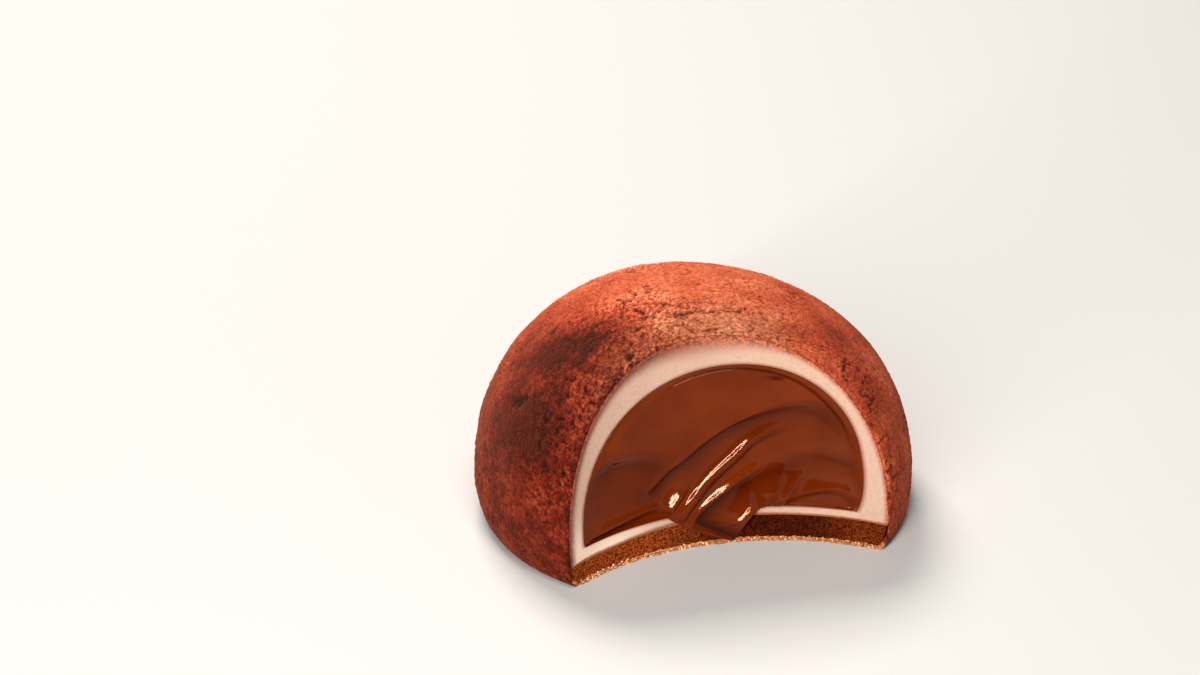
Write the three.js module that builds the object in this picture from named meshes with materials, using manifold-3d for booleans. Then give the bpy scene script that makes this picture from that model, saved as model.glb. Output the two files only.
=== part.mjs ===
// A cocoa-dusted mochi with one bite taken out: a low ball of rice dough, wrapped round a soft
// chocolate filling and a cocoa base layer, all of which show in the bitten face.
// Millimetres, +Z up. The origin is on the table, under the ball's axis, and the bite faces -Y.
import * as THREE from "three";
import { mergeVertices } from "three/addons/utils/BufferGeometryUtils.js";
import Module from "manifold-3d";

const wasm = await Module();
wasm.setup();

// The ball of dough
const BALL_WIDTH = 45;
const BALL_HEIGHT = 24.4;
const WAIST_Z = 4; // height of the widest ring
const FOOT_RADIUS = 21.2; // edge of the flat underside
const DOME_POWER = 2.15; // 2 makes the dome's outline an ellipse, more makes it fuller
const LUMP_SIDE = 0.45; // how far the dome swells over its -X shoulder and sinks over the other
const LUMP_BACK = 0.18; // how far it swells at the back and sinks at the bite
const LUMP_TURN = 2.4; // turn of these slow swellings across the ball, in radians
const CRAG = 0.45; // height of the cracked cocoa crust
const CRAG_LEVEL = 0.35; // share of that height which stands out of the ball
const CRAG_PITCH = 3.4;

// The layers in the bitten face, from the table up
const CRUST = 0.45; // dough under and round the base layer
const BASE_TOP_Z = 2.95;
const FILLING_FLOOR_Z = 3.95;
const SIDE_WALL = 2.5;
const ROOF_WALL = 3.7;
const CAVITY_WAIST_Z = 7;
const CAVITY_SHIFT = -0.9; // the filling lies this far to one side at its floor
const CAVITY_LEAN = 0.23; // and leans over to the other towards its top
const CAVITY_FOOT_TUCK = 0.7; // how far the cavity draws in towards its floor
const GAP = 0.15; // clearance between two pieces

// The bite, a scoop of round plan that leans back a little
const BITE_RADIUS = 26.2;
const BITE_AHEAD = 35.5; // from the ball's axis forward to the scoop's axis, at the table
const BITE_LEAN = 0.054;
const BITE_TALL = 80;

// The filling's bitten face
const FACE_SUNK = 0.35; // how far the filling lies behind the dough's cut, before its folds
const FACE_SAG = 0.9; // how much further its top lies back and its foot stands out
const TONGUE_FROM_X = -5.2; // where the filling runs down over the rim
const TONGUE_LOWEST_X = 1.7;
const TONGUE_TO_X = 4.9;
const TONGUE_DROP = 3.7;
const TONGUE_ROUND = 0.75; // 1 makes the tongue's sides straight, less makes them bulge
const CREASE_EDGE = 0.8; // how sharply a fold steps up from its crease
const RIM_CALM = 1.6; // folds fade out this close to the dough
const TONGUE_THIN = 4; // how late the tongue thins towards its edge

// Folds of the filling. Each crease is a line of [x, z] points on the bitten face, with the side
// on its left raised by height at the crease and sinking back over width.
const FOLDS = [
  {
    height: 1.3,
    width: 4.5,
    crease: [[-7.1, 6.7], [-4.3, 9.3], [-0.6, 11.9], [3, 13.6], [8.3, 15], [11.2, 14.4]],
  },
  {
    height: 1.7,
    width: 1.7,
    crease: [[1.2, 0.6], [-1.9, 2.7], [-2.1, 3.5], [-0.1, 5.3], [3, 7.3], [8.5, 9.7], [11.5, 9.9]],
  },
  { height: 0.8, width: 2.6, crease: [[-13.8, 11], [-9.8, 11.6], [-6.9, 11], [-4, 9.4]] },
  { height: 0.7, width: 2.2, crease: [[6.2, 4], [8.5, 5], [11.5, 5.7], [13.8, 4.8]] },
  { height: 0.9, width: 2.4, crease: [[-14.6, 3.9], [-9.2, 4.7], [-6.6, 4.9], [-4, 4.4]] },
];
// Soft swellings of the filling: where, how far across and up, and how high
const SWELLS = [
  { x: 1.6, z: 9.7, across: 3.2, up: 2.6, height: 1 },
  { x: -3, z: 5.4, across: 2.2, up: 2.4, height: 1 },
  { x: 1.4, z: 2.6, across: 2.6, up: 2.8, height: 1.6 },
];

// Mesh density
const BALL_SECTORS = 76;
const CAVITY_SECTORS = 52;
const DOME_STEPS = 23;
const FOOT_STEPS = 4;
const BITE_SECTORS = 96;
const FACE_COLUMNS = 70;
const FACE_ROWS = 38;
const TONGUE_STEPS = 24;

const COCOA = new THREE.MeshStandardMaterial({ color: 0x9a4a30, roughness: 0.95, metalness: 0 });
const CHOCOLATE = new THREE.MeshStandardMaterial({ color: 0x6e2a0e, roughness: 0.25, metalness: 0 });
const COCOA_LAYER = new THREE.MeshStandardMaterial({ color: 0x5c2408, roughness: 0.9, metalness: 0 });

// Round bodies, each with a foot that swells to a waist and a dome above it
const ball = {
  floor: 0,
  foot: FOOT_RADIUS,
  waist: WAIST_Z,
  radius: BALL_WIDTH / 2,
  top: BALL_HEIGHT,
};
const cavity = {
  floor: FILLING_FLOOR_Z,
  foot: ball.radius - SIDE_WALL - CAVITY_FOOT_TUCK,
  waist: CAVITY_WAIST_Z,
  radius: ball.radius - SIDE_WALL,
  top: BALL_HEIGHT - ROOF_WALL,
};

// The cavity's axis leans, so its middle is at this x
function cavityX(z) {
  return CAVITY_SHIFT + CAVITY_LEAN * (z - cavity.floor);
}

function inset(body, by) {
  return {
    floor: body.floor + by,
    foot: body.foot - by,
    waist: body.waist,
    radius: body.radius - by,
    top: body.top - by,
  };
}

// Radius of a round body at a height: a quarter ellipse below the waist, a superellipse above it
function radiusAt(body, z) {
  if (z < body.waist) {
    const down = (body.waist - z) / (body.waist - body.floor);
    return body.foot + (body.radius - body.foot) * Math.sqrt(Math.max(0, 1 - down * down));
  }
  const up = Math.min(1, (z - body.waist) / (body.top - body.waist));
  return body.radius * Math.pow(1 - Math.pow(up, DOME_POWER), 1 / DOME_POWER);
}

// Outline of a round body from its floor's centre to its top, with even steps round each curve
function bodyProfile(body) {
  const points = [new THREE.Vector2(0, body.floor)];
  for (let i = 0; i < FOOT_STEPS; i++) {
    const z = body.waist - (body.waist - body.floor) * Math.cos((i / FOOT_STEPS) * (Math.PI / 2));
    points.push(new THREE.Vector2(radiusAt(body, z), z));
  }
  for (let i = 0; i < DOME_STEPS; i++) {
    const turn = (i / DOME_STEPS) * (Math.PI / 2);
    const z = body.waist + (body.top - body.waist) * Math.pow(Math.sin(turn), 2 / DOME_POWER);
    points.push(new THREE.Vector2(radiusAt(body, z), z));
  }
  points.push(new THREE.Vector2(0, body.top));
  return points;
}

// Outline of a flat layer that follows the ball's side between two heights
function layerProfile(low, high, tuck) {
  const points = [new THREE.Vector2(0, low)];
  for (let i = 0; i <= FOOT_STEPS; i++) {
    const z = low + ((high - low) * i) / FOOT_STEPS;
    points.push(new THREE.Vector2(radiusAt(ball, z) - tuck, z));
  }
  points.push(new THREE.Vector2(0, high));
  return points;
}

// A lathe turned so that its axis is +Z
function turned(profile, sectors) {
  return new THREE.LatheGeometry(profile, sectors).rotateX(Math.PI / 2);
}

// A body that leans with the cavity
function leaned(geometry) {
  geometry.applyMatrix4(new THREE.Matrix4().makeShear(0, 0, 0, 0, CAVITY_LEAN, 0));
  return geometry.translate(cavityX(0), 0, 0);
}

// Fixed lattice noise from -1 to 1, smooth between whole numbers
const SCRAMBLE = new THREE.Vector3(127.1, 311.7, 74.7);
const SCATTER = 43758.5453;
function lattice(i, j, k) {
  const mixed = Math.sin(SCRAMBLE.dot(new THREE.Vector3(i, j, k))) * SCATTER;
  return 2 * (mixed - Math.floor(mixed)) - 1;
}
function noise(x, y, z) {
  const corner = [x, y, z].map(Math.floor);
  const ease = [x, y, z].map((v, i) => THREE.MathUtils.smootherstep(v - corner[i], 0, 1));
  let sum = 0;
  for (let n = 0; n < 8; n++) {
    const step = [n & 1, (n >> 1) & 1, n >> 2];
    const share = step.reduce((s, one, i) => s * (one ? ease[i] : 1 - ease[i]), 1);
    sum += share * lattice(corner[0] + step[0], corner[1] + step[1], corner[2] + step[2]);
  }
  return sum;
}

// The ball's uneven skin: slow lumps, and crags with sharp valleys. The flat underside stays flat.
function roughen(geometry) {
  const at = geometry.getAttribute("position");
  for (let i = 0; i < at.count; i++) {
    const p = new THREE.Vector3().fromBufferAttribute(at, i);
    const outward = new THREE.Vector3(p.x, p.y, p.z - WAIST_Z).normalize();
    const side = -LUMP_SIDE * outward.z * Math.sin(LUMP_TURN * outward.x);
    const deep = LUMP_BACK * Math.sin(LUMP_TURN * outward.y);
    const rough = Math.abs(noise(p.x / CRAG_PITCH, p.y / CRAG_PITCH, p.z / CRAG_PITCH));
    const free = THREE.MathUtils.smoothstep(p.z, 0, WAIST_Z);
    p.addScaledVector(outward, free * (side + deep + CRAG * (CRAG_LEVEL - rough)));
    at.setXYZ(i, p.x, p.y, p.z);
  }
  return geometry;
}

// A closed geometry as a solid for cutting, and a solid back as a geometry
function toSolid(geometry) {
  const bare = geometry.clone();
  bare.deleteAttribute("normal");
  bare.deleteAttribute("uv");
  const merged = mergeVertices(bare, 1e-4);
  const kept = [];
  for (let i = 0; i < merged.index.count; i += 3) {
    const [a, b, c] = [0, 1, 2].map((n) => merged.index.getX(i + n));
    if (a !== b && b !== c && c !== a) kept.push(a, b, c);
  }
  return new wasm.Manifold(
    new wasm.Mesh({
      numProp: 3,
      vertProperties: new Float32Array(merged.getAttribute("position").array),
      triVerts: new Uint32Array(kept),
    }),
  );
}
function toGeometry(solid) {
  const mesh = solid.getMesh();
  const geometry = new THREE.BufferGeometry();
  geometry.setAttribute("position", new THREE.BufferAttribute(mesh.vertProperties, 3));
  geometry.setIndex(new THREE.BufferAttribute(mesh.triVerts, 1));
  geometry.computeVertexNormals();
  return geometry;
}

// The scoop that the bite takes out, or one that stays short of the bitten face
function biteSolid(short = 0) {
  const radius = BITE_RADIUS - short;
  const scoop = new THREE.CylinderGeometry(radius, radius, BITE_TALL, BITE_SECTORS);
  scoop.rotateX(Math.PI / 2 - Math.atan(BITE_LEAN));
  scoop.translate(0, -BITE_AHEAD, 0);
  return toSolid(scoop);
}

// Depth of the bitten face at x and z
function faceY(x, z) {
  return BITE_LEAN * z - BITE_AHEAD + Math.sqrt(BITE_RADIUS * BITE_RADIUS - x * x);
}

// How far the filling hangs below its floor at x, where it runs over the rim
function tongueDrop(x) {
  const rise = THREE.MathUtils.inverseLerp(TONGUE_FROM_X, TONGUE_LOWEST_X, x);
  const fall = THREE.MathUtils.inverseLerp(TONGUE_TO_X, TONGUE_LOWEST_X, x);
  return TONGUE_DROP * Math.max(0, Math.min(rise, fall)) ** TONGUE_ROUND;
}

// Distance from a crease to a point, positive on its left, and the share of its length there
function besideCrease(crease, x, z) {
  let best = { far: Infinity };
  for (let i = 0; i + 1 < crease.length; i++) {
    const [ax, az] = crease[i];
    const [dx, dz] = [crease[i + 1][0] - ax, crease[i + 1][1] - az];
    const share = THREE.MathUtils.clamp(((x - ax) * dx + (z - az) * dz) / (dx * dx + dz * dz), 0, 1);
    const [ox, oz] = [x - ax - share * dx, z - az - share * dz];
    const far = Math.hypot(ox, oz);
    const side = Math.sign(dx * oz - dz * ox) || 1;
    if (far < best.far) best = { far, signed: far * side, along: (i + share) / (crease.length - 1) };
  }
  return best;
}

// How far the filling stands out of the bitten face at x and z. It sags towards its foot, its
// sheets overlap at the creases, and where it hangs over the rim it thins to the tongue's edge.
function proud(x, z) {
  const mid = (cavity.floor + cavity.top) / 2;
  const sag = (FACE_SAG * (mid - z)) / (mid - cavity.floor) - FACE_SUNK;
  const inside = radiusAt(cavity, z) - Math.hypot(x - cavityX(z), faceY(x, z));
  let relief = 0;
  for (const { crease, height, width } of FOLDS) {
    const { signed, along } = besideCrease(crease, x, z);
    const raised = THREE.MathUtils.smoothstep(signed, -CREASE_EDGE, CREASE_EDGE);
    const ends = Math.sqrt(Math.sin(Math.PI * along));
    relief += height * ends * raised * Math.exp(-Math.max(0, signed) / width);
  }
  for (const { x: midX, z: midZ, across, up, height } of SWELLS) {
    relief += height * Math.exp(-(((x - midX) / across) ** 2) - ((z - midZ) / up) ** 2);
  }
  const calm = THREE.MathUtils.smoothstep(inside, 0, RIM_CALM);
  const hang = THREE.MathUtils.clamp((cavity.floor - z) / Math.max(tongueDrop(x), GAP), 0, 1);
  return (sag + calm * relief) * Math.sqrt(1 - hang ** TONGUE_THIN);
}

// Everything behind the filling's folded face
function behindFolds() {
  const block = new THREE.BoxGeometry(BALL_WIDTH, 1, BALL_WIDTH / 2, FACE_COLUMNS, 1, FACE_ROWS);
  block.translate(0, 0, BALL_WIDTH / 4 - GAP);
  const at = block.getAttribute("position");
  for (let i = 0; i < at.count; i++) {
    const [x, z] = [at.getX(i), at.getZ(i)];
    at.setY(i, at.getY(i) > 0 ? BALL_WIDTH : faceY(x, z) - proud(x, z));
  }
  return toSolid(block);
}

// The space in front of the rim that the filling runs down into
function tongueSpace() {
  const outline = new THREE.Shape();
  outline.moveTo(TONGUE_FROM_X, cavity.floor + 1);
  for (let i = 0; i <= TONGUE_STEPS; i++) {
    const x = THREE.MathUtils.lerp(TONGUE_FROM_X, TONGUE_TO_X, i / TONGUE_STEPS);
    outline.lineTo(x, cavity.floor + GAP - tongueDrop(x));
  }
  outline.lineTo(TONGUE_TO_X, cavity.floor + 1);
  const prism = new THREE.ExtrudeGeometry(outline, { depth: BALL_WIDTH, bevelEnabled: false });
  return toSolid(prism.rotateX(Math.PI / 2)).intersect(biteSolid(2 * GAP));
}

const bite = biteSolid();
const dough = toSolid(roughen(turned(bodyProfile(ball), BALL_SECTORS)))
  .subtract(bite)
  .subtract(toSolid(leaned(turned(bodyProfile(cavity), CAVITY_SECTORS))))
  .subtract(toSolid(turned(layerProfile(CRUST, BASE_TOP_Z, CRUST), BALL_SECTORS)));
const base = toSolid(turned(layerProfile(CRUST + GAP, BASE_TOP_Z - GAP, CRUST + GAP), BALL_SECTORS))
  .subtract(bite);
const filling = toSolid(leaned(turned(bodyProfile(inset(cavity, GAP)), CAVITY_SECTORS)))
  .add(tongueSpace())
  .intersect(behindFolds());

function piece(name, geometry, material) {
  const mesh = new THREE.Mesh(geometry, material);
  mesh.name = name;
  return mesh;
}

const mochi = new THREE.Group();
mochi.add(piece("rice_dough", toGeometry(dough), COCOA));
mochi.add(piece("cocoa_base", toGeometry(base), COCOA_LAYER));
mochi.add(piece("chocolate_filling", toGeometry(filling), CHOCOLATE));

export default mochi;
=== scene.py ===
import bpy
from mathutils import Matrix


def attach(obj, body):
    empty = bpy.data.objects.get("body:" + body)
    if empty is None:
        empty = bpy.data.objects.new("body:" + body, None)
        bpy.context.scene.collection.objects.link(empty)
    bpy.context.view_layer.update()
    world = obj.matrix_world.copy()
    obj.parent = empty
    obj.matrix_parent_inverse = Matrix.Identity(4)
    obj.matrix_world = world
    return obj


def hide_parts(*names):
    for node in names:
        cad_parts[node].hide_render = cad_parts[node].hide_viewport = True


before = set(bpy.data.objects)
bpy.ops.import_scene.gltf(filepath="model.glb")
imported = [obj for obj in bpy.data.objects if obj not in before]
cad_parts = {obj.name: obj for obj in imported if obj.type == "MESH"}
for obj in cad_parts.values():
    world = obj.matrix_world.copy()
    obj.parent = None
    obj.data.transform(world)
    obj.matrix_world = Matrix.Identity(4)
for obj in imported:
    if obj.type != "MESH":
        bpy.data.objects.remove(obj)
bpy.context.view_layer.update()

import bpy
import numpy as np
from mathutils import Matrix, Quaternion, Vector


# Cocoa base layer
# A thin cake-like layer of pressed cocoa crumb that the filling stands on, cut through by the bite.
# It is a flat slab of the ball's own plan, and its bitten edge shows the crumb.

# Sizes are in millimetres, and MM turns them into metres. A pair of values says where a smoothstep
# starts and where it ends, and three values say how strong it is, too, with the strength first.
MM = 0.001
BALL_RADIUS = 22.5
BALL_TOP = 24.4
WAIST = 4.0
FOOT_RADIUS = 21.2
DOME_POWER = 2.15
BITE_RADIUS = 26.2
BITE_AHEAD = 35.5
BITE_LEAN = 0.054
COAT_UNDER = 0.45
BASE_TOP = 2.95
BASE_FALL = (0.5, 2, 13)
BASE_POINTS_BITTEN = 460
BASE_POINTS_ROUND = 200
BASE_ROWS = 26
LAYER_GAP = 0.02
BASE_EDGE = 0.12
BASE_TUCK = 0.5
BASE_LID = (0.97, 0.97, 1.0)
BASE_CRUMB = 0.045
BASE_CRUMB_PITCH = 0.24
BASE_HOLE = 1.6 * BASE_CRUMB
BASE_HOLE_PITCH = 0.5
BASE_HOLE_LEVEL = (0.35, 0.75)
# Painted shade on the crumb: darker from the left part towards the middle and the right, and a little less
# so at the right end.
BASE_PAINTED_SHADE_MIDDLE = (0.95, -9, 3)
BASE_PAINTED_SHADE_END = (0.35, 9, 15)
BASE_PAINTED_SHADE_TINT = (0.16, 0.07, 0.025, 1.0)
HASH_PRIMES = (73856093, 19349663, 83492791, 2654435)
HASH_TURN = (1103515245, 12345, 60493)
HASH_MASK = 0x7FFFFFFF
LATTICE_SHIFT = 17.0


def smooth(value, low, high):
    """Smoothstep: 0 below low, 1 above high, and the cubic 3t2 - 2t3 between them."""
    share = np.clip((value - low) / (high - low), 0, 1)
    return share * share * (3 - 2 * share)


def rise(value, strength, low, high):
    """A smoothstep that ends at this strength."""
    return strength * smooth(value, low, high)


def blend(first, second, share):
    """The first value where the share is 0, the second where it is 1, and straight between them."""
    return first + (second - first) * share


def hashed(cell, seed):
    """A whole number from 0 up to HASH_MASK for each cell of a cubic lattice: its three places and
    the seed times large primes, mixed by exclusive or, then turned and shifted once."""
    i, j, k = np.moveaxis(cell, -1, 0)
    number = (i * HASH_PRIMES[0]) ^ (j * HASH_PRIMES[1]) ^ (k * HASH_PRIMES[2]) ^ (seed * HASH_PRIMES[3])
    number = (number * HASH_TURN[0] + HASH_TURN[1]) & HASH_MASK
    return ((number >> 13) ^ number) * HASH_TURN[2] & HASH_MASK


def lattice(points, pitch, seed):
    """Value noise from -1 to 1: a hashed number at each corner of a cubic lattice of this pitch,
    blended between the eight corners round a point by the quintic 6t5 - 15t4 + 10t3."""
    at = points / pitch + LATTICE_SHIFT
    corner = np.floor(at).astype(np.int64)
    part = at - corner
    ease = part * part * part * (part * (part * 6 - 15) + 10)
    total = np.zeros(points.shape[:-1])
    for step in np.ndindex(2, 2, 2):
        share = np.prod(np.where(np.array(step) == 1, ease, 1 - ease), axis=-1)
        total += share * (hashed(corner + np.array(step), seed) / (HASH_MASK // 2) - 1)
    return total


def ball_radius(z, tuck=0.0):
    """Radius of the round ball at height z, less tuck: a quarter ellipse from the foot up to the
    waist, and a superellipse from the waist up to the top."""
    down = np.clip((WAIST - z) / WAIST, 0, 1)
    foot = blend(FOOT_RADIUS, BALL_RADIUS, np.sqrt(1 - down**2))
    up = np.clip((z - WAIST) / (BALL_TOP - WAIST), 0, 1)
    dome = BALL_RADIUS * (1 - up**DOME_POWER) ** (1 / DOME_POWER)
    return np.where(z < WAIST, foot, dome) - tuck


def base_top(x):
    """Height of the base layer's top: level, and lower by a smoothstep towards the left end."""
    return BASE_TOP - rise(-x, *BASE_FALL)


def ring_piece(name, rings, first_pole, last_pole, values):
    """A closed mesh from rings of points: quads between each ring and the next, wrapped round,
    and a fan from each end ring to its pole. Values are named numbers, one for each point."""
    count, around = rings.shape[:2]
    points = np.vstack([rings.reshape(-1, 3), first_pole, last_pole]) * MM
    index = np.arange(count * around).reshape(count, around)
    beside = np.roll(index, -1, axis=1)
    quads = np.stack([index[:-1], beside[:-1], beside[1:], index[1:]], -1).reshape(-1, 4)
    poles = np.full(around, count * around)
    first = np.stack([poles, beside[0], index[0]], -1)
    last = np.stack([poles + 1, index[-1], beside[-1]], -1)
    halves = np.vstack([quads[:, :3], quads[:, [0, 2, 3]], first, last])
    a, b, c = points[halves[:, 0]], points[halves[:, 1]], points[halves[:, 2]]
    if np.einsum("ij,ij->", a, np.cross(b, c)) < 0:
        quads, first, last = quads[:, ::-1], first[:, ::-1], last[:, ::-1]
    corners = np.concatenate([quads.ravel(), first.ravel(), last.ravel()])
    sizes = np.concatenate([np.full(len(quads), 4), np.full(2 * around, 3)])
    mesh = bpy.data.meshes.new(name)
    mesh.vertices.add(len(points))
    mesh.vertices.foreach_set("co", points.astype(np.float32).ravel())
    mesh.loops.add(len(corners))
    mesh.loops.foreach_set("vertex_index", corners.astype(np.int32))
    mesh.polygons.add(len(sizes))
    mesh.polygons.foreach_set("loop_start", (np.cumsum(sizes) - sizes).astype(np.int32))
    mesh.polygons.foreach_set("use_smooth", np.ones(len(sizes), bool))
    mesh.update(calc_edges=True)
    mesh.validate()
    for value_name, value in values.items():
        whole = np.concatenate([value.ravel(), [value[0].mean(), value[-1].mean()]])
        attribute = mesh.attributes.new(value_name, "FLOAT", "POINT")
        attribute.data.foreach_set("value", whole.astype(np.float32))
    piece = bpy.data.objects.new(name, mesh)
    bpy.context.scene.collection.objects.link(piece)
    return piece


def slab_plan(z, tuck):
    """Plan outline of the ball at height z: along the bite from corner to corner, then round the
    ball's side. The corners are where the bite's circle meets the ball's."""
    radius = ball_radius(z, tuck=tuck)
    middle = BITE_LEAN * z - BITE_AHEAD
    corner_y = (radius**2 - BITE_RADIUS**2 + middle**2) / (2 * middle)
    corner_x = np.sqrt(radius**2 - corner_y**2)
    half = np.arcsin(corner_x / BITE_RADIUS)
    turn = np.linspace(-half, half, BASE_POINTS_BITTEN, endpoint=False)
    bitten = np.stack([BITE_RADIUS * np.sin(turn), middle + BITE_RADIUS * np.cos(turn)], -1)
    begin = np.arctan2(corner_y, corner_x)
    turn = np.linspace(begin, np.pi - begin, BASE_POINTS_ROUND, endpoint=False)
    side = np.stack([radius * np.cos(turn), radius * np.sin(turn)], -1)
    flat = np.vstack([bitten, side])
    return np.column_stack([flat, np.full(len(flat), z)])


base_middle = np.array([0.0, 4.0, 0.0])
base_rows = np.linspace(COAT_UNDER + LAYER_GAP, BASE_TOP - LAYER_GAP, BASE_ROWS)
base_walls = np.array([slab_plan(z, BASE_TUCK) for z in base_rows])
base_walls[..., 2] *= base_top(base_walls[..., 0]) / BASE_TOP
base_edge_gap = np.minimum(base_rows - base_rows[0], base_rows[-1] - base_rows)
base_inward = base_middle - base_walls
base_inward[..., 2] = 0
base_inward /= np.linalg.norm(base_inward, axis=-1, keepdims=True)
base_crumb = lattice(base_walls, BASE_CRUMB_PITCH, 3)
base_holes = smooth(lattice(base_walls, BASE_HOLE_PITCH, 5), *BASE_HOLE_LEVEL)
base_round = np.sqrt(np.clip(base_edge_gap / BASE_EDGE, 0, 1))[:, None]
base_depth = BASE_CRUMB * base_crumb + BASE_HOLE * base_holes + BASE_EDGE * (1 - base_round)
base_walls = base_walls + base_depth[..., None] * base_inward
base_under = blend(base_middle, base_walls[0], BASE_LID)
base_over = blend(base_middle, base_walls[-1], BASE_LID)
base_rings = np.concatenate([base_under[None], base_walls, base_over[None]])
base_value = np.concatenate([[base_crumb[0]], base_crumb - base_holes, [base_crumb[-1]]])
# Painted shade: how darkly the crumb's colour is shaded along the layer.
base_painted_shade = rise(base_rings[..., 0], *BASE_PAINTED_SHADE_MIDDLE) - rise(base_rings[..., 0], *BASE_PAINTED_SHADE_END)
cocoa_layer = ring_piece(
    "cocoa_layer",
    base_rings,
    base_middle + [0, 0, COAT_UNDER + LAYER_GAP],
    base_middle + [0, 0, BASE_TOP - LAYER_GAP],
    {"crumb": base_value * 0.5 + 0.5, "painted_dark": base_painted_shade},
)


def bare_material(name, inputs):
    """A material with one Principled shader set to these inputs, and its node tree and shader to go
    on with."""
    material = bpy.data.materials.new(name)
    material.use_nodes = True
    shader = material.node_tree.nodes["Principled BSDF"]
    for input_name, value in inputs.items():
        shader.inputs[input_name].default_value = value
    return material, material.node_tree, shader


def linear(red, green, blue):
    """A screen colour of 0 to 255 as linear light, by the sRGB curve, with full opacity."""
    share = np.array([red, green, blue]) / 255
    light = np.where(share <= 0.04045, share / 12.92, ((share + 0.055) / 1.055) ** 2.4)
    return (*light.tolist(), 1.0)


def grey(share):
    """A grey of this share of white, as linear light, with full opacity."""
    return (share, share, share, 1.0)


def powder_group():
    """Dry powder: a fine noise and rounded clumps, which are 1 less the distance to the nearest of
    scattered points. Their even mix is both the shade of the grain and the height of its bump."""
    group = bpy.data.node_groups.new("dry_powder", "ShaderNodeTree")
    group.interface.new_socket("Grain scale", in_out="INPUT", socket_type="NodeSocketFloat")
    group.interface.new_socket("Clump scale", in_out="INPUT", socket_type="NodeSocketFloat")
    group.interface.new_socket("Mask", in_out="OUTPUT", socket_type="NodeSocketFloat")
    nodes, links = group.nodes, group.links
    inside = nodes.new("NodeGroupInput")
    outside = nodes.new("NodeGroupOutput")
    place = nodes.new("ShaderNodeTexCoord")
    grain = nodes.new("ShaderNodeTexNoise")
    grain.inputs["Detail"].default_value = 3
    clump = nodes.new("ShaderNodeTexVoronoi")
    for texture, scale in ((grain, "Grain scale"), (clump, "Clump scale")):
        links.new(place.outputs["Object"], texture.inputs["Vector"])
        links.new(inside.outputs[scale], texture.inputs["Scale"])
    rounded = nodes.new("ShaderNodeMath")
    rounded.operation = "SUBTRACT"
    rounded.inputs[0].default_value = 1.0
    links.new(clump.outputs["Distance"], rounded.inputs[1])
    even_mix = nodes.new("ShaderNodeMix")
    even_mix.inputs["Factor"].default_value = 0.5
    links.new(grain.outputs["Fac"], even_mix.inputs["A"])
    links.new(rounded.outputs["Value"], even_mix.inputs["B"])
    links.new(even_mix.outputs["Result"], outside.inputs["Mask"])
    return group


dry_powder = powder_group()


def powder_mask(tree, grain_scale, clump_scale):
    """The mask of one use of the powder group, at these numbers of grains and clumps to the metre."""
    node = tree.nodes.new("ShaderNodeGroup")
    node.node_tree = dry_powder
    node.inputs["Grain scale"].default_value = grain_scale
    node.inputs["Clump scale"].default_value = clump_scale
    return node.outputs["Mask"]


def ramp(tree, source, stops):
    """A colour ramp on a value, with stops of (place, colour)."""
    node = tree.nodes.new("ShaderNodeValToRGB")
    elements = node.color_ramp.elements
    while len(elements) < len(stops):
        elements.new(0.5)
    for element, (place, colour) in zip(elements, stops):
        element.position = place
        element.color = colour
    tree.links.new(source, node.inputs["Fac"])
    return node.outputs["Color"]


def mixed(tree, factor, first, second, kind="MIX"):
    """A colour mix of two colours by a factor. Each may be a socket or a fixed value."""
    node = tree.nodes.new("ShaderNodeMix")
    node.data_type = "RGBA"
    node.blend_type = kind
    for socket, value in zip((node.inputs[0], node.inputs[6], node.inputs[7]), (factor, first, second)):
        if isinstance(value, bpy.types.NodeSocket):
            tree.links.new(value, socket)
        else:
            socket.default_value = value
    return node.outputs[2]


def times(tree, first, second):
    """One colour times another."""
    return mixed(tree, 1.0, first, second, "MULTIPLY")


def bump(tree, shader, height, strength, distance):
    """A bump from a height into the shader's normal."""
    node = tree.nodes.new("ShaderNodeBump")
    node.inputs["Strength"].default_value = strength
    node.inputs["Distance"].default_value = distance
    tree.links.new(height, node.inputs["Height"])
    tree.links.new(node.outputs["Normal"], shader.inputs["Normal"])


def named_value(tree, name):
    """The piece's own value of that name, from its mesh."""
    node = tree.nodes.new("ShaderNodeAttribute")
    node.attribute_name = name
    return node.outputs["Fac"]


crumb_material, tree, shader = bare_material("pressed cocoa crumb", {
    "Roughness": 0.92,
    "Specular IOR Level": 0.05,
})
powder = powder_mask(tree, grain_scale=9000.0, clump_scale=5600.0)
crumb_shade = ramp(tree, powder, [
    (0.28, linear(64, 18, 3)),
    (0.46, linear(122, 48, 13)),
    (0.64, linear(168, 82, 30)),
])
# The crumb value darkens the colour where the crumb noise is low, as the crumb's own tone, and in the holes,
# as painted shade.
crumb_grain_and_hole_shade = ramp(tree, named_value(tree, "crumb"), [
    (0.1, (0.6, 0.55, 0.5, 1.0)),
    (0.55, grey(1.0)),
])
crumb_shade = times(tree, crumb_shade, crumb_grain_and_hole_shade)
# Painted shade: the crumb's colour is mixed towards a darker copy towards the middle and the right.
painted_shaded_crumb = times(tree, crumb_shade, BASE_PAINTED_SHADE_TINT)
crumb_shade = mixed(tree, named_value(tree, "painted_dark"), crumb_shade, painted_shaded_crumb)
tree.links.new(crumb_shade, shader.inputs["Base Color"])
bump(tree, shader, powder, strength=0.5, distance=0.00012)
cocoa_layer.data.materials.append(crumb_material)
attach(cocoa_layer, "root")
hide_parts("cocoa_base")


# Chocolate filling
# A thick, soft chocolate cream, poured into the dough while warm. The bite has dragged its face into
# overlapping sheets and rolls, and one fold runs down over the rim as a tongue.

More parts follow.
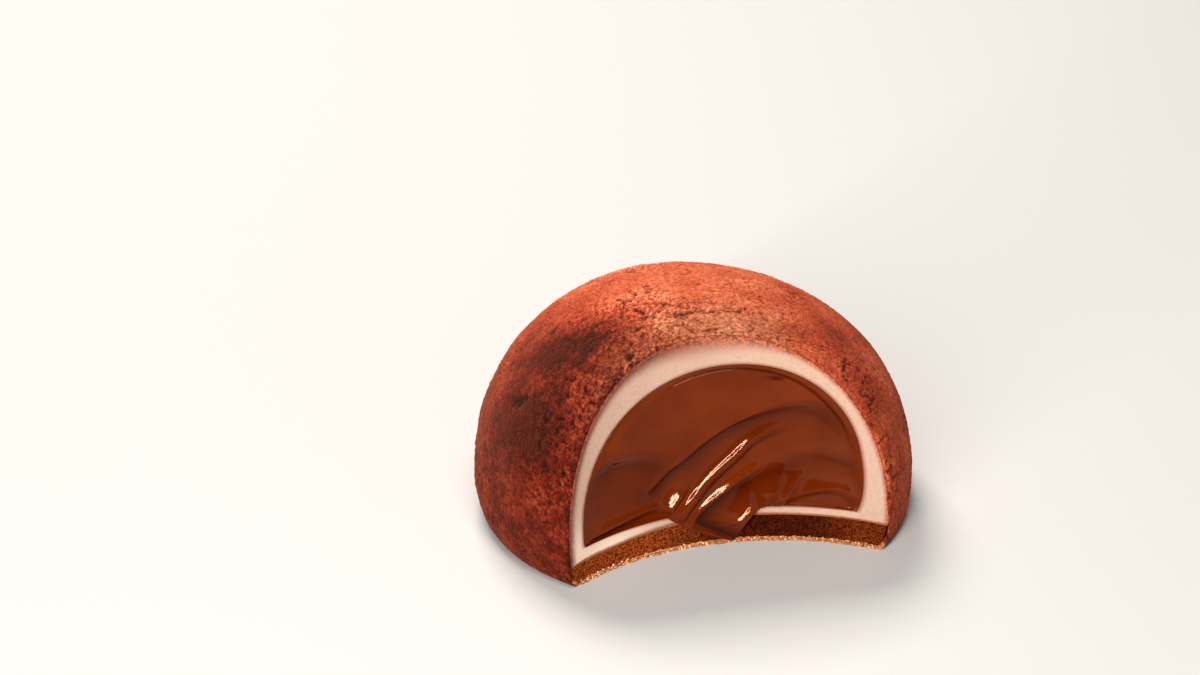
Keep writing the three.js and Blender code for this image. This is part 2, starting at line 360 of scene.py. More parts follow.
# The cavity in the dough, and the filling's mesh
CAVITY_RADIUS = 19.7
CAVITY_TOP = 20.7
CAVITY_FLOOR = 3.95
CAVITY_WAIST = 7.0
CAVITY_TUCK = 0.4
CAVITY_SHIFT = -0.75
CAVITY_LEAN = 0.17
CAVITY_DRAWN_IN = (0.5, 5, 14)
CAVITY_DRAWN_UP = (5, 11)
FACE_MIDDLE = (0.0, 9.5)
FACE_FAR = 26.0
BALL_FAR = 60.0
HALVINGS = 34
OUTLINE_STEPS = 4001
LINE_STEPS = 150
FILLING_SPOKES = 440
FILLING_RINGS = 170
FILLING_BACK_RINGS = 20
FILLING_GAP = 0.05
FILLING_OVERLAP = 0.03
BALL_HEART = np.array([0.0, 3.0, 9.5])
FILLING_NECK_BACK = 0.6
FILLING_NECK_SHARE = 0.995
# The tongue's outline below the cavity's floor
TONGUE_FROM = -5.2
TONGUE_LOWEST = 1.7
TONGUE_TO = 4.4
TONGUE_DROP = 3.75
TONGUE_ROUND = 0.75
TONGUE_STRAIGHT = 1.1
TONGUE_ROOT = 0.6
# Creases and crests as (x, z) points on the bitten face. The sheet on a crease's left lies on top,
# and its softness goes by (share of the crease's length, half width of the step). Its fade goes by
# (share of the length, how far the shade under the sheet reaches).
CREASE_FADE = [(0, 0.3), (1, 0.3)]
UPPER_CREASE = [(-12, 1.5), (-9.4, 4.6), (-7.1, 6.9), (-4.3, 9.3), (-0.6, 11.9), (3, 13.6), (8.3, 15),
                (11.2, 14.4), (16, 11)]
UPPER_FADE = [(0, 0.4), (0.4, 0.6), (1, 0.9)]
UPPER_SOFT = [(0, 2.2), (0.2, 1.8), (0.25, 0.7), (0.3, 0.14), (0.45, 0.2), (0.6, 0.45), (0.8, 1.1), (1, 2.0)]
LOWER_CREASE = [(3.4, -0.5), (1.7, 0.5), (-0.6, 1.8), (-1.9, 2.55), (-2.3, 3.2), (-1.45, 4.15), (0.1, 5.1),
                (1.7, 6.1), (3.2, 7.1), (4.6, 7.85), (6.5, 8.6), (8.5, 9.7), (12, 10.4), (18, 9.5)]
LOWER_FADE = [(0, 0.3), (0.2, 0.9), (0.45, 0.9), (0.7, 0.45), (1, 0.4)]
LOWER_SOFT = [(0, 0.3), (0.3, 0.16), (0.5, 0.3), (0.7, 0.7), (1, 1.3)]
LEFT_CREASE = [(-20, 8), (-13.3, 11.3), (-9.8, 11.6), (-6.9, 11), (-4.5, 9.6), (-1, 7)]
LEFT_SOFT = [(0, 0.5), (0.4, 0.75), (0.7, 1.2), (1, 1.6)]
FOOT_CREASE = [(-20, 3.6), (-14.5, 4.15), (-11.5, 4.4), (-8.5, 4.55), (-6.2, 4.8), (-4.6, 4.6), (-3.6, 3.2)]
FOOT_SOFT = [(0, 0.15), (0.7, 0.2), (1, 0.4)]
RIGHT_CREASE = [(8.6, 10), (10.5, 9.5), (11.8, 9.2), (13.1, 8.85), (18, 8.6)]
RIGHT_SOFT = [(0, 1.0), (0.4, 0.25), (1, 0.2)]
WAVE_CREASE = [(4.4, 3.4), (7, 4.4), (8.5, 5), (9.9, 5.4), (11.5, 5.7), (12.8, 5.4), (16, 3.6)]
WAVE_SOFT = [(0, 0.9), (0.3, 0.4), (0.7, 0.35), (1, 0.6)]
# Each roll: its crest, its height, its half widths on the crest's right at its start and at its end,
# its half width on the left, and the share of its length that each end takes to sink away
LONG_ROLL = ([(9.2, 12.9), (6.4, 12.2), (3.9, 10.9), (2.1, 9.3), (0.4, 7.8), (-0.85, 6.6), (-2.0, 5.45),
              (-2.9, 4.5), (-3.6, 3.6), (-3.9, 3.0)], 0.6, 2.8, 2.2, 0.3, 0.35, 0.15)
STREAK_RIDGE = ([(9.0, 13.2), (6.2, 12.6), (3.6, 11.2), (1.8, 9.6), (0.1, 8.15), (-1.15, 6.95), (-2.3, 5.8),
                 (-3.1, 4.95), (-3.75, 4.2), (-4.15, 3.4)], 0.34, 0.5, 0.5, 0.5, 0.3, 0.35)
KNUCKLE = ([(-2.3, 7.6), (-3.1, 6.8), (-3.8, 6.1), (-4.4, 5.45), (-4.8, 4.7), (-4.95, 3.9)],
           0.67, 1.25, 1.15, 0.35, 0.45, 0.3)
LIP_ROLL = ([(5.6, 8.6), (4.2, 7.75), (3.0, 7.0), (1.6, 6.05), (0.1, 5.05), (-1.2, 4.15), (-2.25, 3.25),
             (-2.75, 2.6), (-2.4, 2.1), (-1.1, 1.6), (0.5, 0.9), (1.9, 0.1)],
            0.44, 0.84, 0.66, 0.35, 0.12, 0.12)
TONGUE_ROLL = ([(9, 8.6), (6.8, 6.6), (5.0, 5.0), (3.7, 3.6), (2.7, 2.2), (1.9, 0.2)],
               0.6, 1.9, 1.9, 1.1, 0.35, 0.15)
TIP_ROLL = ([(5.4, 4.9), (4.4, 3.9), (3.5, 3.05), (2.7, 2.3), (2.1, 1.6)], 0.48, 0.9, 0.9, 0.42, 0.3, 0.3)
SIDE_ROLL = ([(9.2, 8.2), (7.8, 6.2), (6.9, 4.9), (6.2, 3.9), (5.4, 2.5)], 0.3, 0.5, 0.5, 0.5, 0.3, 0.3)
EDGE_ROLL = ([(-8.6, 6.2), (-6.9, 7.6), (-4.8, 9.45), (-1.2, 12), (2.6, 13.9), (6, 15)],
             0.12, 0.24, 0.24, 0.24, 0.3, 0.3)
FOOT_ROLL = ([(-14.4, 4.7), (-11.5, 5.0), (-8.5, 5.15), (-6.4, 5.3), (-5.0, 5.2)],
             0.3, 0.5, 0.5, 0.4, 0.25, 0.35)
LIP_ROUND = 0.15
# How far each sheet stands out of the bitten face, and the steps and swells on it
SHEET_UPPER = 0.5
SHEET_MIDDLE = -0.5
SHEET_LOWER = -0.85
SHEET_FOOT = -0.7
LEFT_STEP = 0.6
RIGHT_STEP = 0.2
WAVE_STEP = 0.45
ROOF_LEAN = 0.05
ROOF_LEAN_FROM = 14
LOW_SWELL = (0.7, 0, 4)
LOW_SWELL_TOP = 8
LOW_SWELL_RIGHT = (3, 7)
# How strongly the painted shade darkens each crease, and where along the face it sets in
UPPER_SHADE = 1.3
UPPER_SHADE_RIGHT = (-7.6, -6.0)
LOWER_SHADE = 1.8
LEFT_SHADE = 1.5
LEFT_SHADE_LEFT = (-1, 6)
RIGHT_SHADE = 0.6
RIGHT_SHADE_RIGHT = (4, 8)
FOOT_SHADE = 0.8
FOOT_SHADE_IN = (-0.1, 0.3)
# The rim along the dough, and the thin film with its groove and nick at the roof
FILLING_RIM = -0.02
CALM_FLOOR = 1.5
CALM_FROM = -0.3
CALM_TO = 1.4
CALM_LEFT = (4, 12)
ROOF_UP = (10.5, 14.5)
ROOF_RIGHT = (-7, -1)
FILM_EDGE = (0.55, 0.9)
FILM_PROUD = 0.05
GROOVE_IN = 1.0
GROOVE_HALF = 0.18
GROOVE_DEPTH = 0.25
GROOVE_SHADE = 0.8
NICK = (6.1, 18.25, 0.8, 0.2, 0.08)  # a burst bubble: its x and z, half width, half height and depth
# The tongue's thickness and its round nose
TONGUE_BODY = 0.6
TONGUE_BODY_TOP = 3.0
TONGUE_BODY_DOWN = (0, 3.5)
TONGUE_BODY_DROP = (0, 1.5)
TONGUE_LEAST = 0.15
TONGUE_LEAST_TOP = 0.8
TONGUE_DEEPEST = -2
TONGUE_NOSE = 1.3
TONGUE_NOSE_SLANT = 0.8
TONGUE_NOSE_POWER = 4
TONGUE_HANGS_FROM = 0.4
TONGUE_HANGS_DOWN = (0, 0.8)
CREAM_GLOSS = (0.045, 0.11)


def cavity_inside(points, gap=0.0):
    """How far each point lies inside the leaning cavity, less a gap: the smaller of the room to
    its round wall and the room to its floor."""
    x, y, z = np.moveaxis(points, -1, 0)
    down = np.clip((CAVITY_WAIST - z) / (CAVITY_WAIST - CAVITY_FLOOR), 0, 1)
    foot = CAVITY_RADIUS - CAVITY_TUCK * (1 - np.sqrt(1 - down**2))
    up = np.clip((z - CAVITY_WAIST) / (CAVITY_TOP - gap - CAVITY_WAIST), 0, 1)
    dome = CAVITY_RADIUS * (1 - up**DOME_POWER) ** (1 / DOME_POWER)
    drawn_in = rise(x, *CAVITY_DRAWN_IN) * smooth(z, *CAVITY_DRAWN_UP)
    wall = np.where(z < CAVITY_WAIST, foot, dome) - gap - drawn_in
    away = np.hypot(x - CAVITY_SHIFT - CAVITY_LEAN * (z - CAVITY_FLOOR), y)
    return np.minimum(wall - away, z - CAVITY_FLOOR - gap)


def tongue_drop(x):
    """How far the filling hangs below its floor at x: two rounded slopes that meet at the tip."""
    from_left = np.clip((x - TONGUE_FROM) / (TONGUE_LOWEST - TONGUE_FROM), 0, 1)
    from_right = np.clip((TONGUE_TO - x) / (TONGUE_TO - TONGUE_LOWEST), 0, 1)
    return TONGUE_DROP * np.minimum(from_left**TONGUE_ROUND, from_right**TONGUE_STRAIGHT)


def bite_y(x, z):
    """Depth of the bitten face: the far side of a wide upright cylinder that leans a little."""
    return BITE_LEAN * z - BITE_AHEAD + np.sqrt(np.maximum(BITE_RADIUS**2 - x**2, 0))


def on_face(x, z):
    """Points of the bitten face at x and z."""
    return np.stack([x, bite_y(x, z), z], -1)


def reach(inside, walk, far):
    """Distance at which a walk leaves a body, by halving: inside tells the room left at a point,
    and walk turns a distance for each spoke into a point."""
    low, high = np.zeros(far.shape), far
    for _ in range(HALVINGS):
        half = (low + high) / 2
        within = inside(walk(half)) > 0
        low, high = np.where(within, half, low), np.where(within, high, half)
    return low


def face_walk(turn):
    """Walks on the bitten face from its middle, at each angle."""
    def walk(distance):
        return on_face(FACE_MIDDLE[0] + distance * np.cos(turn), FACE_MIDDLE[1] + distance * np.sin(turn))
    return walk


def face_reach(inside, turn):
    """Distance from the face's middle to a body's bitten outline, at each angle."""
    return reach(inside, face_walk(turn), np.full(turn.shape, FACE_FAR))


def face_edge(inside, turn):
    """Points of a body's bitten outline, at each angle."""
    return face_walk(turn)(face_reach(inside, turn))


def even_turns(inside, count):
    """Angles round the face's middle that divide a body's bitten outline into equal lengths."""
    turn = np.linspace(-np.pi / 2, 1.5 * np.pi, OUTLINE_STEPS)
    edge = face_edge(inside, turn)
    length = np.concatenate([[0], np.cumsum(np.linalg.norm(np.diff(edge, axis=0), axis=1))])
    return np.interp(np.linspace(0, length[-1], count, endpoint=False), length, turn)


def back_fan(inside, edge, heart, count, crowding=1.0):
    """The back of a round body: from each edge point the direction seen from the heart turns towards
    straight back, in steps that a power above 1 crowds at the edge, and each direction is followed
    to the body's wall."""
    ahead = edge - heart
    far = np.linalg.norm(ahead, axis=-1, keepdims=True)
    ahead = ahead / far
    back = np.array([0.0, 1.0, 0.0])
    angle = np.arccos(np.clip(ahead @ back, -1, 1))[:, None]
    share = ((np.arange(1, count + 1) / (count + 1)) ** crowding)[:, None, None]
    ways = (np.sin((1 - share) * angle) * ahead + np.sin(share * angle) * back) / np.sin(angle)
    def walk(distance):
        return heart + ways * distance[..., None]
    rings = walk(reach(inside, walk, np.full(ways.shape[:2], BALL_FAR)))
    def straight(distance):
        return heart + back * distance[..., None]
    pole = straight(reach(inside, straight, np.array([BALL_FAR])))
    return rings, pole


def smooth_line(points, count):
    """A Catmull-Rom curve through the points, in count equal steps of its parameter."""
    given = np.array(points, float)
    given = np.vstack([2 * given[0] - given[1], given, 2 * given[-1] - given[-2]])
    at = np.linspace(0, len(points) - 1, count)
    low = np.minimum(at.astype(int), len(points) - 2)
    part = (at - low)[:, None]
    a, b, c, d = (given[low + step] for step in range(4))
    return 0.5 * (2 * b + (c - a) * part + (2 * a - 5 * b + 4 * c - d) * part**2
                  + (3 * b - a - 3 * c + d) * part**3)


def beside_line(points, x, z):
    """Distance from a smooth line to each x and z, positive on the line's left, and the share of
    the line's length at the nearest point."""
    line = smooth_line(points, LINE_STEPS)
    way = np.gradient(line, axis=0)
    way /= np.linalg.norm(way, axis=1, keepdims=True)
    flat_x, flat_z = x.ravel(), z.ravel()
    away = (flat_x[:, None] - line[:, 0]) ** 2 + (flat_z[:, None] - line[:, 1]) ** 2
    near = away.argmin(1)
    off_x, off_z = flat_x - line[near, 0], flat_z - line[near, 1]
    across = way[near, 0] * off_z - way[near, 1] * off_x
    far = np.sqrt(away[np.arange(len(near)), near])
    signed = np.where((near == 0) | (near == LINE_STEPS - 1), np.sign(across) * far, across)
    return signed.reshape(x.shape), (near / (LINE_STEPS - 1)).reshape(x.shape)


def above_crease(crease, softness, x, z, fading=CREASE_FADE):
    """Share of the sheet that lies on a crease's left: a smoothstep across the crease, of a half
    width that changes along it. Also the painted shade of the crease, strongest just under that sheet."""
    signed, along = beside_line(crease, x, z)
    soft = np.interp(along, *np.array(softness, float).T)
    fade = np.interp(along, *np.array(fading, float).T)
    shade = np.exp(-np.maximum(-signed - soft, 0) / (fade + soft)) * smooth(-signed, -soft, soft)
    return smooth(signed, -soft, soft), shade / (1 + soft) ** 2


def bell(*offsets):
    """A bell of height 1: e to the minus sum of the squared offsets, each in half widths."""
    return np.exp(-sum(offset**2 for offset in offsets))


def beside_roll(roll, x, z):
    """Distance from a roll's crest to each x and z, the roll's half widths there on the crest's right
    and left, and its height, which sinks away by a smoothstep at each end."""
    crest, step, right_start, right_end, left, start, end = roll
    signed, along = beside_line(crest, x, z)
    ends = smooth(along, 0, start) * smooth(1 - along, 0, end)
    return signed, blend(right_start, right_end, along), left, step * ends


def roll_height(roll, x, z):
    """A ridge along a crest: a bell, of its own half width on each side."""
    signed, right, left, height = beside_roll(roll, x, z)
    return height * bell(signed / np.where(signed > 0, left, right))


def lip_height(roll, x, z):
    """A lip along a crest: a bell on the crest's left, and on its right a straight flank with a
    rounded top and foot, which are arcs of a hyperbola."""
    signed, right, left, height = beside_roll(roll, x, z)
    flank = 1 + LIP_ROUND - np.hypot(signed / right, LIP_ROUND)
    flank = (flank + np.hypot(flank, LIP_ROUND)) / 2
    return height * np.where(signed > 0, bell(signed / left), flank)


def folds(x, z):
    """Height of the folded face, the painted shade of its creases, and by itself the painted shade of the
    crease at its foot: three sheets that overlap at the long creases, each with its own rolls, lips and
    waves."""
    left, left_shade = above_crease(LEFT_CREASE, LEFT_SOFT, x, z)
    foot, foot_shade = above_crease(FOOT_CREASE, FOOT_SOFT, x, z)
    upper, upper_shade = above_crease(UPPER_CREASE, UPPER_SOFT, x, z, UPPER_FADE)
    lower, lower_shade = above_crease(LOWER_CREASE, LOWER_SOFT, x, z, LOWER_FADE)
    right, right_shade = above_crease(RIGHT_CREASE, RIGHT_SOFT, x, z)
    wave, wave_shade = above_crease(WAVE_CREASE, WAVE_SOFT, x, z)
    sheet = SHEET_UPPER - LEFT_STEP * (1 - left) - ROOF_LEAN * np.maximum(z - ROOF_LEAN_FROM, 0)
    sheet = sheet + roll_height(EDGE_ROLL, x, z)
    sheet = blend(SHEET_FOOT, sheet, foot)
    middle = SHEET_MIDDLE + roll_height(LONG_ROLL, x, z) + roll_height(STREAK_RIDGE, x, z)
    middle = middle + lip_height(LIP_ROLL, x, z) + lip_height(KNUCKLE, x, z)
    low = SHEET_LOWER + roll_height(TONGUE_ROLL, x, z) + roll_height(SIDE_ROLL, x, z)
    low = low + RIGHT_STEP * right + WAVE_STEP * wave + lip_height(TIP_ROLL, x, z)
    low = low + rise(LOW_SWELL_TOP - z, *LOW_SWELL) * smooth(x, *LOW_SWELL_RIGHT)
    middle = blend(low, middle, lower)
    shade = np.maximum(UPPER_SHADE * upper_shade * smooth(x, *UPPER_SHADE_RIGHT), LOWER_SHADE * lower_shade)
    on_left = upper * smooth(-x, *LEFT_SHADE_LEFT)
    shade = np.maximum(shade, np.maximum(LEFT_SHADE * left_shade, foot_shade) * on_left)
    on_right = (1 - lower) * smooth(x, *RIGHT_SHADE_RIGHT)
    shade = np.maximum(shade, RIGHT_SHADE * np.maximum(right_shade, wave_shade) * on_right)
    return blend(middle, sheet, upper), shade, FOOT_SHADE * foot_shade * on_left


def tongue_shape(height, x, z):
    """The height with the tongue worked in: it thickens towards the rim, keeps a least thickness
    below it, and thins to a round nose, which is a parabola blended in by a power mean."""
    drop = tongue_drop(x)
    body = smooth(CAVITY_FLOOR + TONGUE_BODY_TOP - z, *TONGUE_BODY_DOWN) * smooth(drop, *TONGUE_BODY_DROP)
    height = height + TONGUE_BODY * body
    least = smooth(CAVITY_FLOOR + TONGUE_LEAST_TOP - z, 0, TONGUE_LEAST_TOP)
    height = np.maximum(height, blend(TONGUE_DEEPEST, TONGUE_LEAST, least))
    to_edge = np.maximum(TONGUE_NOSE_SLANT * (z - CAVITY_FLOOR + drop), 0)
    nose = np.sqrt(2 * TONGUE_NOSE * to_edge)
    both = np.maximum(height, 1e-6) ** TONGUE_NOSE_POWER + nose**TONGUE_NOSE_POWER + 1e-9
    thin = height * nose / both ** (1 / TONGUE_NOSE_POWER)
    hanging = smooth(CAVITY_FLOOR + TONGUE_HANGS_FROM - z, *TONGUE_HANGS_DOWN)
    return blend(height, thin, hanging)


def filling_proud(x, z):
    """How far the filling stands out of the bitten face, and the painted shade of its creases, groove and
    nick: the folds, calmed along the dough, with a thin film, a groove and a nick on the roof, and with
    the tongue below."""
    relief, shade, foot_shade = folds(x, z)
    room = cavity_inside(on_face(x, np.maximum(z, CAVITY_FLOOR + CALM_FLOOR)))
    calm = smooth(room, CALM_FROM, CALM_TO + smooth(-x, *CALM_LEFT))
    height = blend(FILLING_RIM, relief, calm) + roll_height(FOOT_ROLL, x, z)
    roof = smooth(z, *ROOF_UP) * smooth(x, *ROOF_RIGHT)
    height = blend(height, FILM_PROUD, roof * (1 - smooth(room, *FILM_EDGE)))
    groove = roof * bell((room - GROOVE_IN) / GROOVE_HALF)
    nick = bell((x - NICK[0]) / NICK[2], (z - NICK[1]) / NICK[3])
    height -= GROOVE_DEPTH * groove + NICK[4] * nick
    shade = np.maximum(shade * calm, foot_shade * smooth(room, *FOOT_SHADE_IN))
    shade = np.maximum(shade, np.maximum(GROOVE_SHADE * groove, nick))
    return tongue_shape(height, x, z), np.clip(shade, 0, 1)


def filling_face(points):
    """Room inside the filling's bitten outline: the cavity's, or the tongue's below its floor."""
    x, _, z = np.moveaxis(points, -1, 0)
    hanging = np.minimum(z - CAVITY_FLOOR + tongue_drop(x), CAVITY_FLOOR + TONGUE_ROOT - z)
    hanging = np.where((x > TONGUE_FROM) & (x < TONGUE_TO), hanging, -1)
    return np.maximum(cavity_inside(points, -FILLING_OVERLAP), hanging)


def filling_body(points):
    """Room inside the filling's hidden body, a little smaller than the cavity."""
    return cavity_inside(points, FILLING_GAP)


filling_turns = even_turns(filling_face, FILLING_SPOKES)
filling_edge = face_reach(filling_face, filling_turns)
filling_shares = (np.arange(1, FILLING_RINGS + 1) / FILLING_RINGS)[:, None]
face_x = FACE_MIDDLE[0] + filling_shares * filling_edge * np.cos(filling_turns)
face_z = FACE_MIDDLE[1] + filling_shares * filling_edge * np.sin(filling_turns)
filling_front = on_face(face_x, face_z)
face_proud, face_shade = filling_proud(face_x, face_z)
filling_front[..., 1] -= face_proud
filling_neck = face_edge(filling_body, filling_turns)
filling_neck[:, 1] += FILLING_NECK_BACK
filling_neck = blend(BALL_HEART, filling_neck, FILLING_NECK_SHARE)
filling_rings, filling_pole = back_fan(filling_body, filling_neck, BALL_HEART, FILLING_BACK_RINGS)
middle_x, middle_z = np.array([FACE_MIDDLE[0]]), np.array([FACE_MIDDLE[1]])
middle_point = on_face(middle_x, middle_z)
middle_point[:, 1] -= filling_proud(middle_x, middle_z)[0]
filling_all = np.concatenate([filling_front, filling_neck[None], filling_rings])
filling_shade = np.zeros(filling_all.shape[:2])
filling_shade[:FILLING_RINGS] = face_shade
chocolate_cream = ring_piece(
    "chocolate_cream",
    filling_all,
    middle_point,
    filling_pole,
    {"crease": filling_shade},
)
cream_material, tree, shader = bare_material("chocolate cream", {
    "Roughness": 0.2,
    "Specular IOR Level": 0.26,
    "Specular Tint": (1.0, 0.62, 0.42, 1.0),
})


def noise(tree, scale, detail, stretch=(1.0, 1.0, 1.0)):
    """A noise on the piece's own coordinates, of this many waves to the metre. A stretch below 1 makes
    it longer along that axis."""
    place = tree.nodes.new("ShaderNodeTexCoord")
    mapping = tree.nodes.new("ShaderNodeMapping")
    mapping.inputs["Scale"].default_value = stretch
    texture = tree.nodes.new("ShaderNodeTexNoise")
    texture.inputs["Scale"].default_value = scale
    texture.inputs["Detail"].default_value = detail
    tree.links.new(place.outputs["Object"], mapping.inputs["Vector"])
    tree.links.new(mapping.outputs["Vector"], texture.inputs["Vector"])
    return texture.outputs["Fac"]


streak = noise(tree, scale=260.0, detail=4.0)
cream_shade = ramp(tree, streak, [
    (0.3, linear(86, 25, 1)),
    (0.7, linear(100, 33, 2)),
])
# Painted shade: the crease value darkens the chocolate's colour in its creases, its groove and its nick.
crease_shade = ramp(tree, named_value(tree, "crease"), [
    (0.0, grey(1.0)),
    (0.5, (0.6, 0.52, 0.5, 1.0)),
    (1.0, (0.25, 0.18, 0.15, 1.0)),
])
cream_shade = times(tree, cream_shade, crease_shade)
tree.links.new(cream_shade, shader.inputs["Base Color"])
gloss = tree.nodes.new("ShaderNodeMapRange")
gloss.inputs["To Min"].default_value, gloss.inputs["To Max"].default_value = CREAM_GLOSS
tree.links.new(streak, gloss.inputs["Value"])
tree.links.new(gloss.outputs["Result"], shader.inputs["Roughness"])
fine = noise(tree, scale=2600.0, detail=3.0)
bump(tree, shader, fine, strength=0.08, distance=0.0001)
chocolate_cream.data.materials.append(cream_material)
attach(chocolate_cream, "root")
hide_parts("chocolate_filling")


# Rice dough
# A soft, pale, steamed rice dough, rolled thin and wrapped over the filling by hand. The bite shows
# it as a cream ring, thicker over the top, with a thin floor under the filling.

# The crust's thickness, and the lumps of the hand-rolled ball
COAT_UNDER_UP = (0.4, 1.6)
COAT_OVER = 0.3
COAT_RIM = 0.1
COAT_RIM_BACK = (0.1, 1.4)
LUMP_SIDE = 0.45
LUMP_BACK = 0.18
LUMP_TURN = 2.4
# The dough's mesh, its rounded edges and its waves
DOUGH_SPOKES = 440
DOUGH_BACK_RINGS = 26
DOUGH_CUT_ROWS = 26
DOUGH_EDGE = 0.2
DOUGH_EDGE_UP = (0.3, 2.5)
DOUGH_LIP = 0.12
DOUGH_WAVE = 0.09
DOUGH_WAVE_PITCH = 2.6
DOUGH_WAVE_IN = (0, 0.6)
DOUGH_WAVE_OUT = (0, 0.5)
# Cocoa, chocolate and crumbs that have soiled the cream ring, the painted shade on the dust at its left, and
# the painted highlight low on its left
DUST_LEFT = 1.1
DUST_RIGHT = 0.6
DUST_TO_RIGHT = (-4, 8)
DUST_TOP = 2.0
DUST_TOP_MIDDLE = -1
DUST_TOP_HALF = 7
DUST_TOP_UP = (14, 20)
DUST_GRAIN = 0.5
DUST_EDGE = (0.35, 1.2)
PAINTED_SHADE_DOUGH_LEFT = (-3, 8)
PAINTED_SHADE_DOUGH_TINT = (0.45, 0.34, 0.31, 1.0)
PAINTED_HIGHLIGHT_TOP = 9
PAINTED_HIGHLIGHT_DOWN = (0, 6)
PAINTED_HIGHLIGHT_LEFT = (5, 13)
STAIN_WIDE = 0.45
SOIL_HIGH = 0.4
SOIL_GRAIN = 0.8


def ball_inside(points, tuck, floor):
    """How far each point lies inside the hand-rolled ball, drawn in by tuck, above a flat floor.
    The ball's wall swells over one shoulder and at the back, by sines of the direction."""
    x, y, z = np.moveaxis(points, -1, 0)
    out = np.linalg.norm(np.stack([x, y, z - WAIST], -1), axis=-1) + 1e-9
    swell = -LUMP_SIDE * (z - WAIST) / out * np.sin(LUMP_TURN * x / out)
    swell = (swell + LUMP_BACK * np.sin(LUMP_TURN * y / out)) * smooth(z, 0, WAIST)
    low = ball_radius(z) - np.hypot(x, y)
    across = (np.hypot(x, y) / BALL_RADIUS) ** DOME_POWER
    up = (np.maximum(z - WAIST, 0) / (BALL_TOP - WAIST)) ** DOME_POWER
    high = out / np.maximum(across + up, 1e-9) ** (1 / DOME_POWER) - out
    return np.minimum(np.where(z < WAIST, low, high) + swell - tuck, z - floor)


def coat_thick(points):
    """Thickness of the cocoa crust: thick under the ball, thinner over its sides, and thinnest at
    the bite, with smoothsteps between them."""
    x, y, z = np.moveaxis(points, -1, 0)
    over = blend(COAT_RIM, COAT_OVER, smooth(y - bite_y(x, z), *COAT_RIM_BACK))
    return blend(COAT_UNDER, over, smooth(z, *COAT_UNDER_UP))


def dough_body(points):
    """Room inside the dough: the ball without its crust, above the base layer."""
    return ball_inside(points, coat_thick(points) + LAYER_GAP, base_top(points[..., 0]))


dough_turns = even_turns(dough_body, DOUGH_SPOKES)
dough_out = face_reach(dough_body, dough_turns)
dough_in = face_reach(cavity_inside, dough_turns)
dough_shares = np.linspace(0, 1, DOUGH_CUT_ROWS)[:, None]
dough_walk = blend(dough_out, dough_in, dough_shares)
dough_cut = face_walk(dough_turns)(dough_walk)
out_gap, in_gap = dough_out - dough_walk, dough_walk - dough_in
out_fall = DOUGH_EDGE - np.sqrt(DOUGH_EDGE**2 - np.clip(DOUGH_EDGE - out_gap, 0, DOUGH_EDGE) ** 2)
in_fall = DOUGH_LIP - np.sqrt(DOUGH_LIP**2 - np.clip(DOUGH_LIP - in_gap, 0, DOUGH_LIP) ** 2)
above_base = smooth(dough_cut[..., 2] - BASE_TOP, *DOUGH_EDGE_UP)
dough_cut[..., 1] += out_fall * above_base + in_fall
dough_wave = smooth(out_gap, *DOUGH_WAVE_IN) * smooth(in_gap, *DOUGH_WAVE_OUT)
dough_cut[..., 1] += DOUGH_WAVE * lattice(dough_cut, DOUGH_WAVE_PITCH, 11) * dough_wave
dough_back, dough_pole = back_fan(dough_body, dough_cut[0], BALL_HEART, DOUGH_BACK_RINGS)
cavity_back, cavity_pole = back_fan(cavity_inside, dough_cut[-1], BALL_HEART, DOUGH_BACK_RINGS)
dough_rings = np.concatenate([dough_back[::-1], dough_cut, cavity_back])
dough_seen = slice(DOUGH_BACK_RINGS, DOUGH_BACK_RINGS + DOUGH_CUT_ROWS)
dust_wide = blend(DUST_LEFT, DUST_RIGHT, smooth(dough_cut[..., 0], *DUST_TO_RIGHT))
dust_over_top = bell((dough_cut[..., 0] - DUST_TOP_MIDDLE) / DUST_TOP_HALF)
dust_wide += DUST_TOP * dust_over_top * smooth(dough_cut[..., 2], *DUST_TOP_UP)
dough_dust = np.ones(dough_rings.shape[:2])
dough_dust[dough_seen] = 1 - out_gap / dust_wide
dough_dust[dough_seen.stop:] = 0
dough_stain = np.zeros(dough_rings.shape[:2])
dough_stain[dough_seen] = 1 - in_gap / STAIN_WIDE
dough_soil = 1 - (dough_rings[..., 2] - base_top(dough_rings[..., 0])) / SOIL_HIGH
dough_painted_highlight = smooth(PAINTED_HIGHLIGHT_TOP - dough_rings[..., 2], *PAINTED_HIGHLIGHT_DOWN) * smooth(-dough_rings[..., 0], *PAINTED_HIGHLIGHT_LEFT)
rice_dough = ring_piece(
    "rice_dough_ring",
    dough_rings,
    dough_pole,
    cavity_pole,
    {
        "dust": np.clip(dough_dust, 0, 1),
        "stain": np.clip(dough_stain, 0, 1),
        "soil": np.clip(dough_soil, 0, 1),
        "left_painted_shade": smooth(-dough_rings[..., 0], *PAINTED_SHADE_DOUGH_LEFT),
        "painted_highlight": dough_painted_highlight,
    },
)
dough_material, tree, shader = bare_material("steamed rice dough", {
    "Roughness": 0.62,
    "Specular IOR Level": 0.3,
    "Subsurface Weight": 0.25,
    "Subsurface Radius": (1.0, 0.6, 0.4),
    "Subsurface Scale": 0.0012,
})
powder = powder_mask(tree, grain_scale=6500.0, clump_scale=3000.0)
dough_shade = ramp(tree, powder, [
    (0.3, linear(186, 152, 131)),
    (0.6, linear(194, 160, 139)),
])
# Painted highlight: the cream is paler low on its left.
dough_shade = mixed(tree, named_value(tree, "painted_highlight"), dough_shade, linear(236, 205, 186))


def grainy(tree, grain, strength, value):
    """A value with a share of the grain added, so that an edge made of it turns out grainy."""
    node = tree.nodes.new("ShaderNodeMath")
    node.operation = "MULTIPLY_ADD"
    tree.links.new(grain, node.inputs[0])
    node.inputs[1].default_value = strength
    tree.links.new(value, node.inputs[2])
    return node.outputs["Value"]


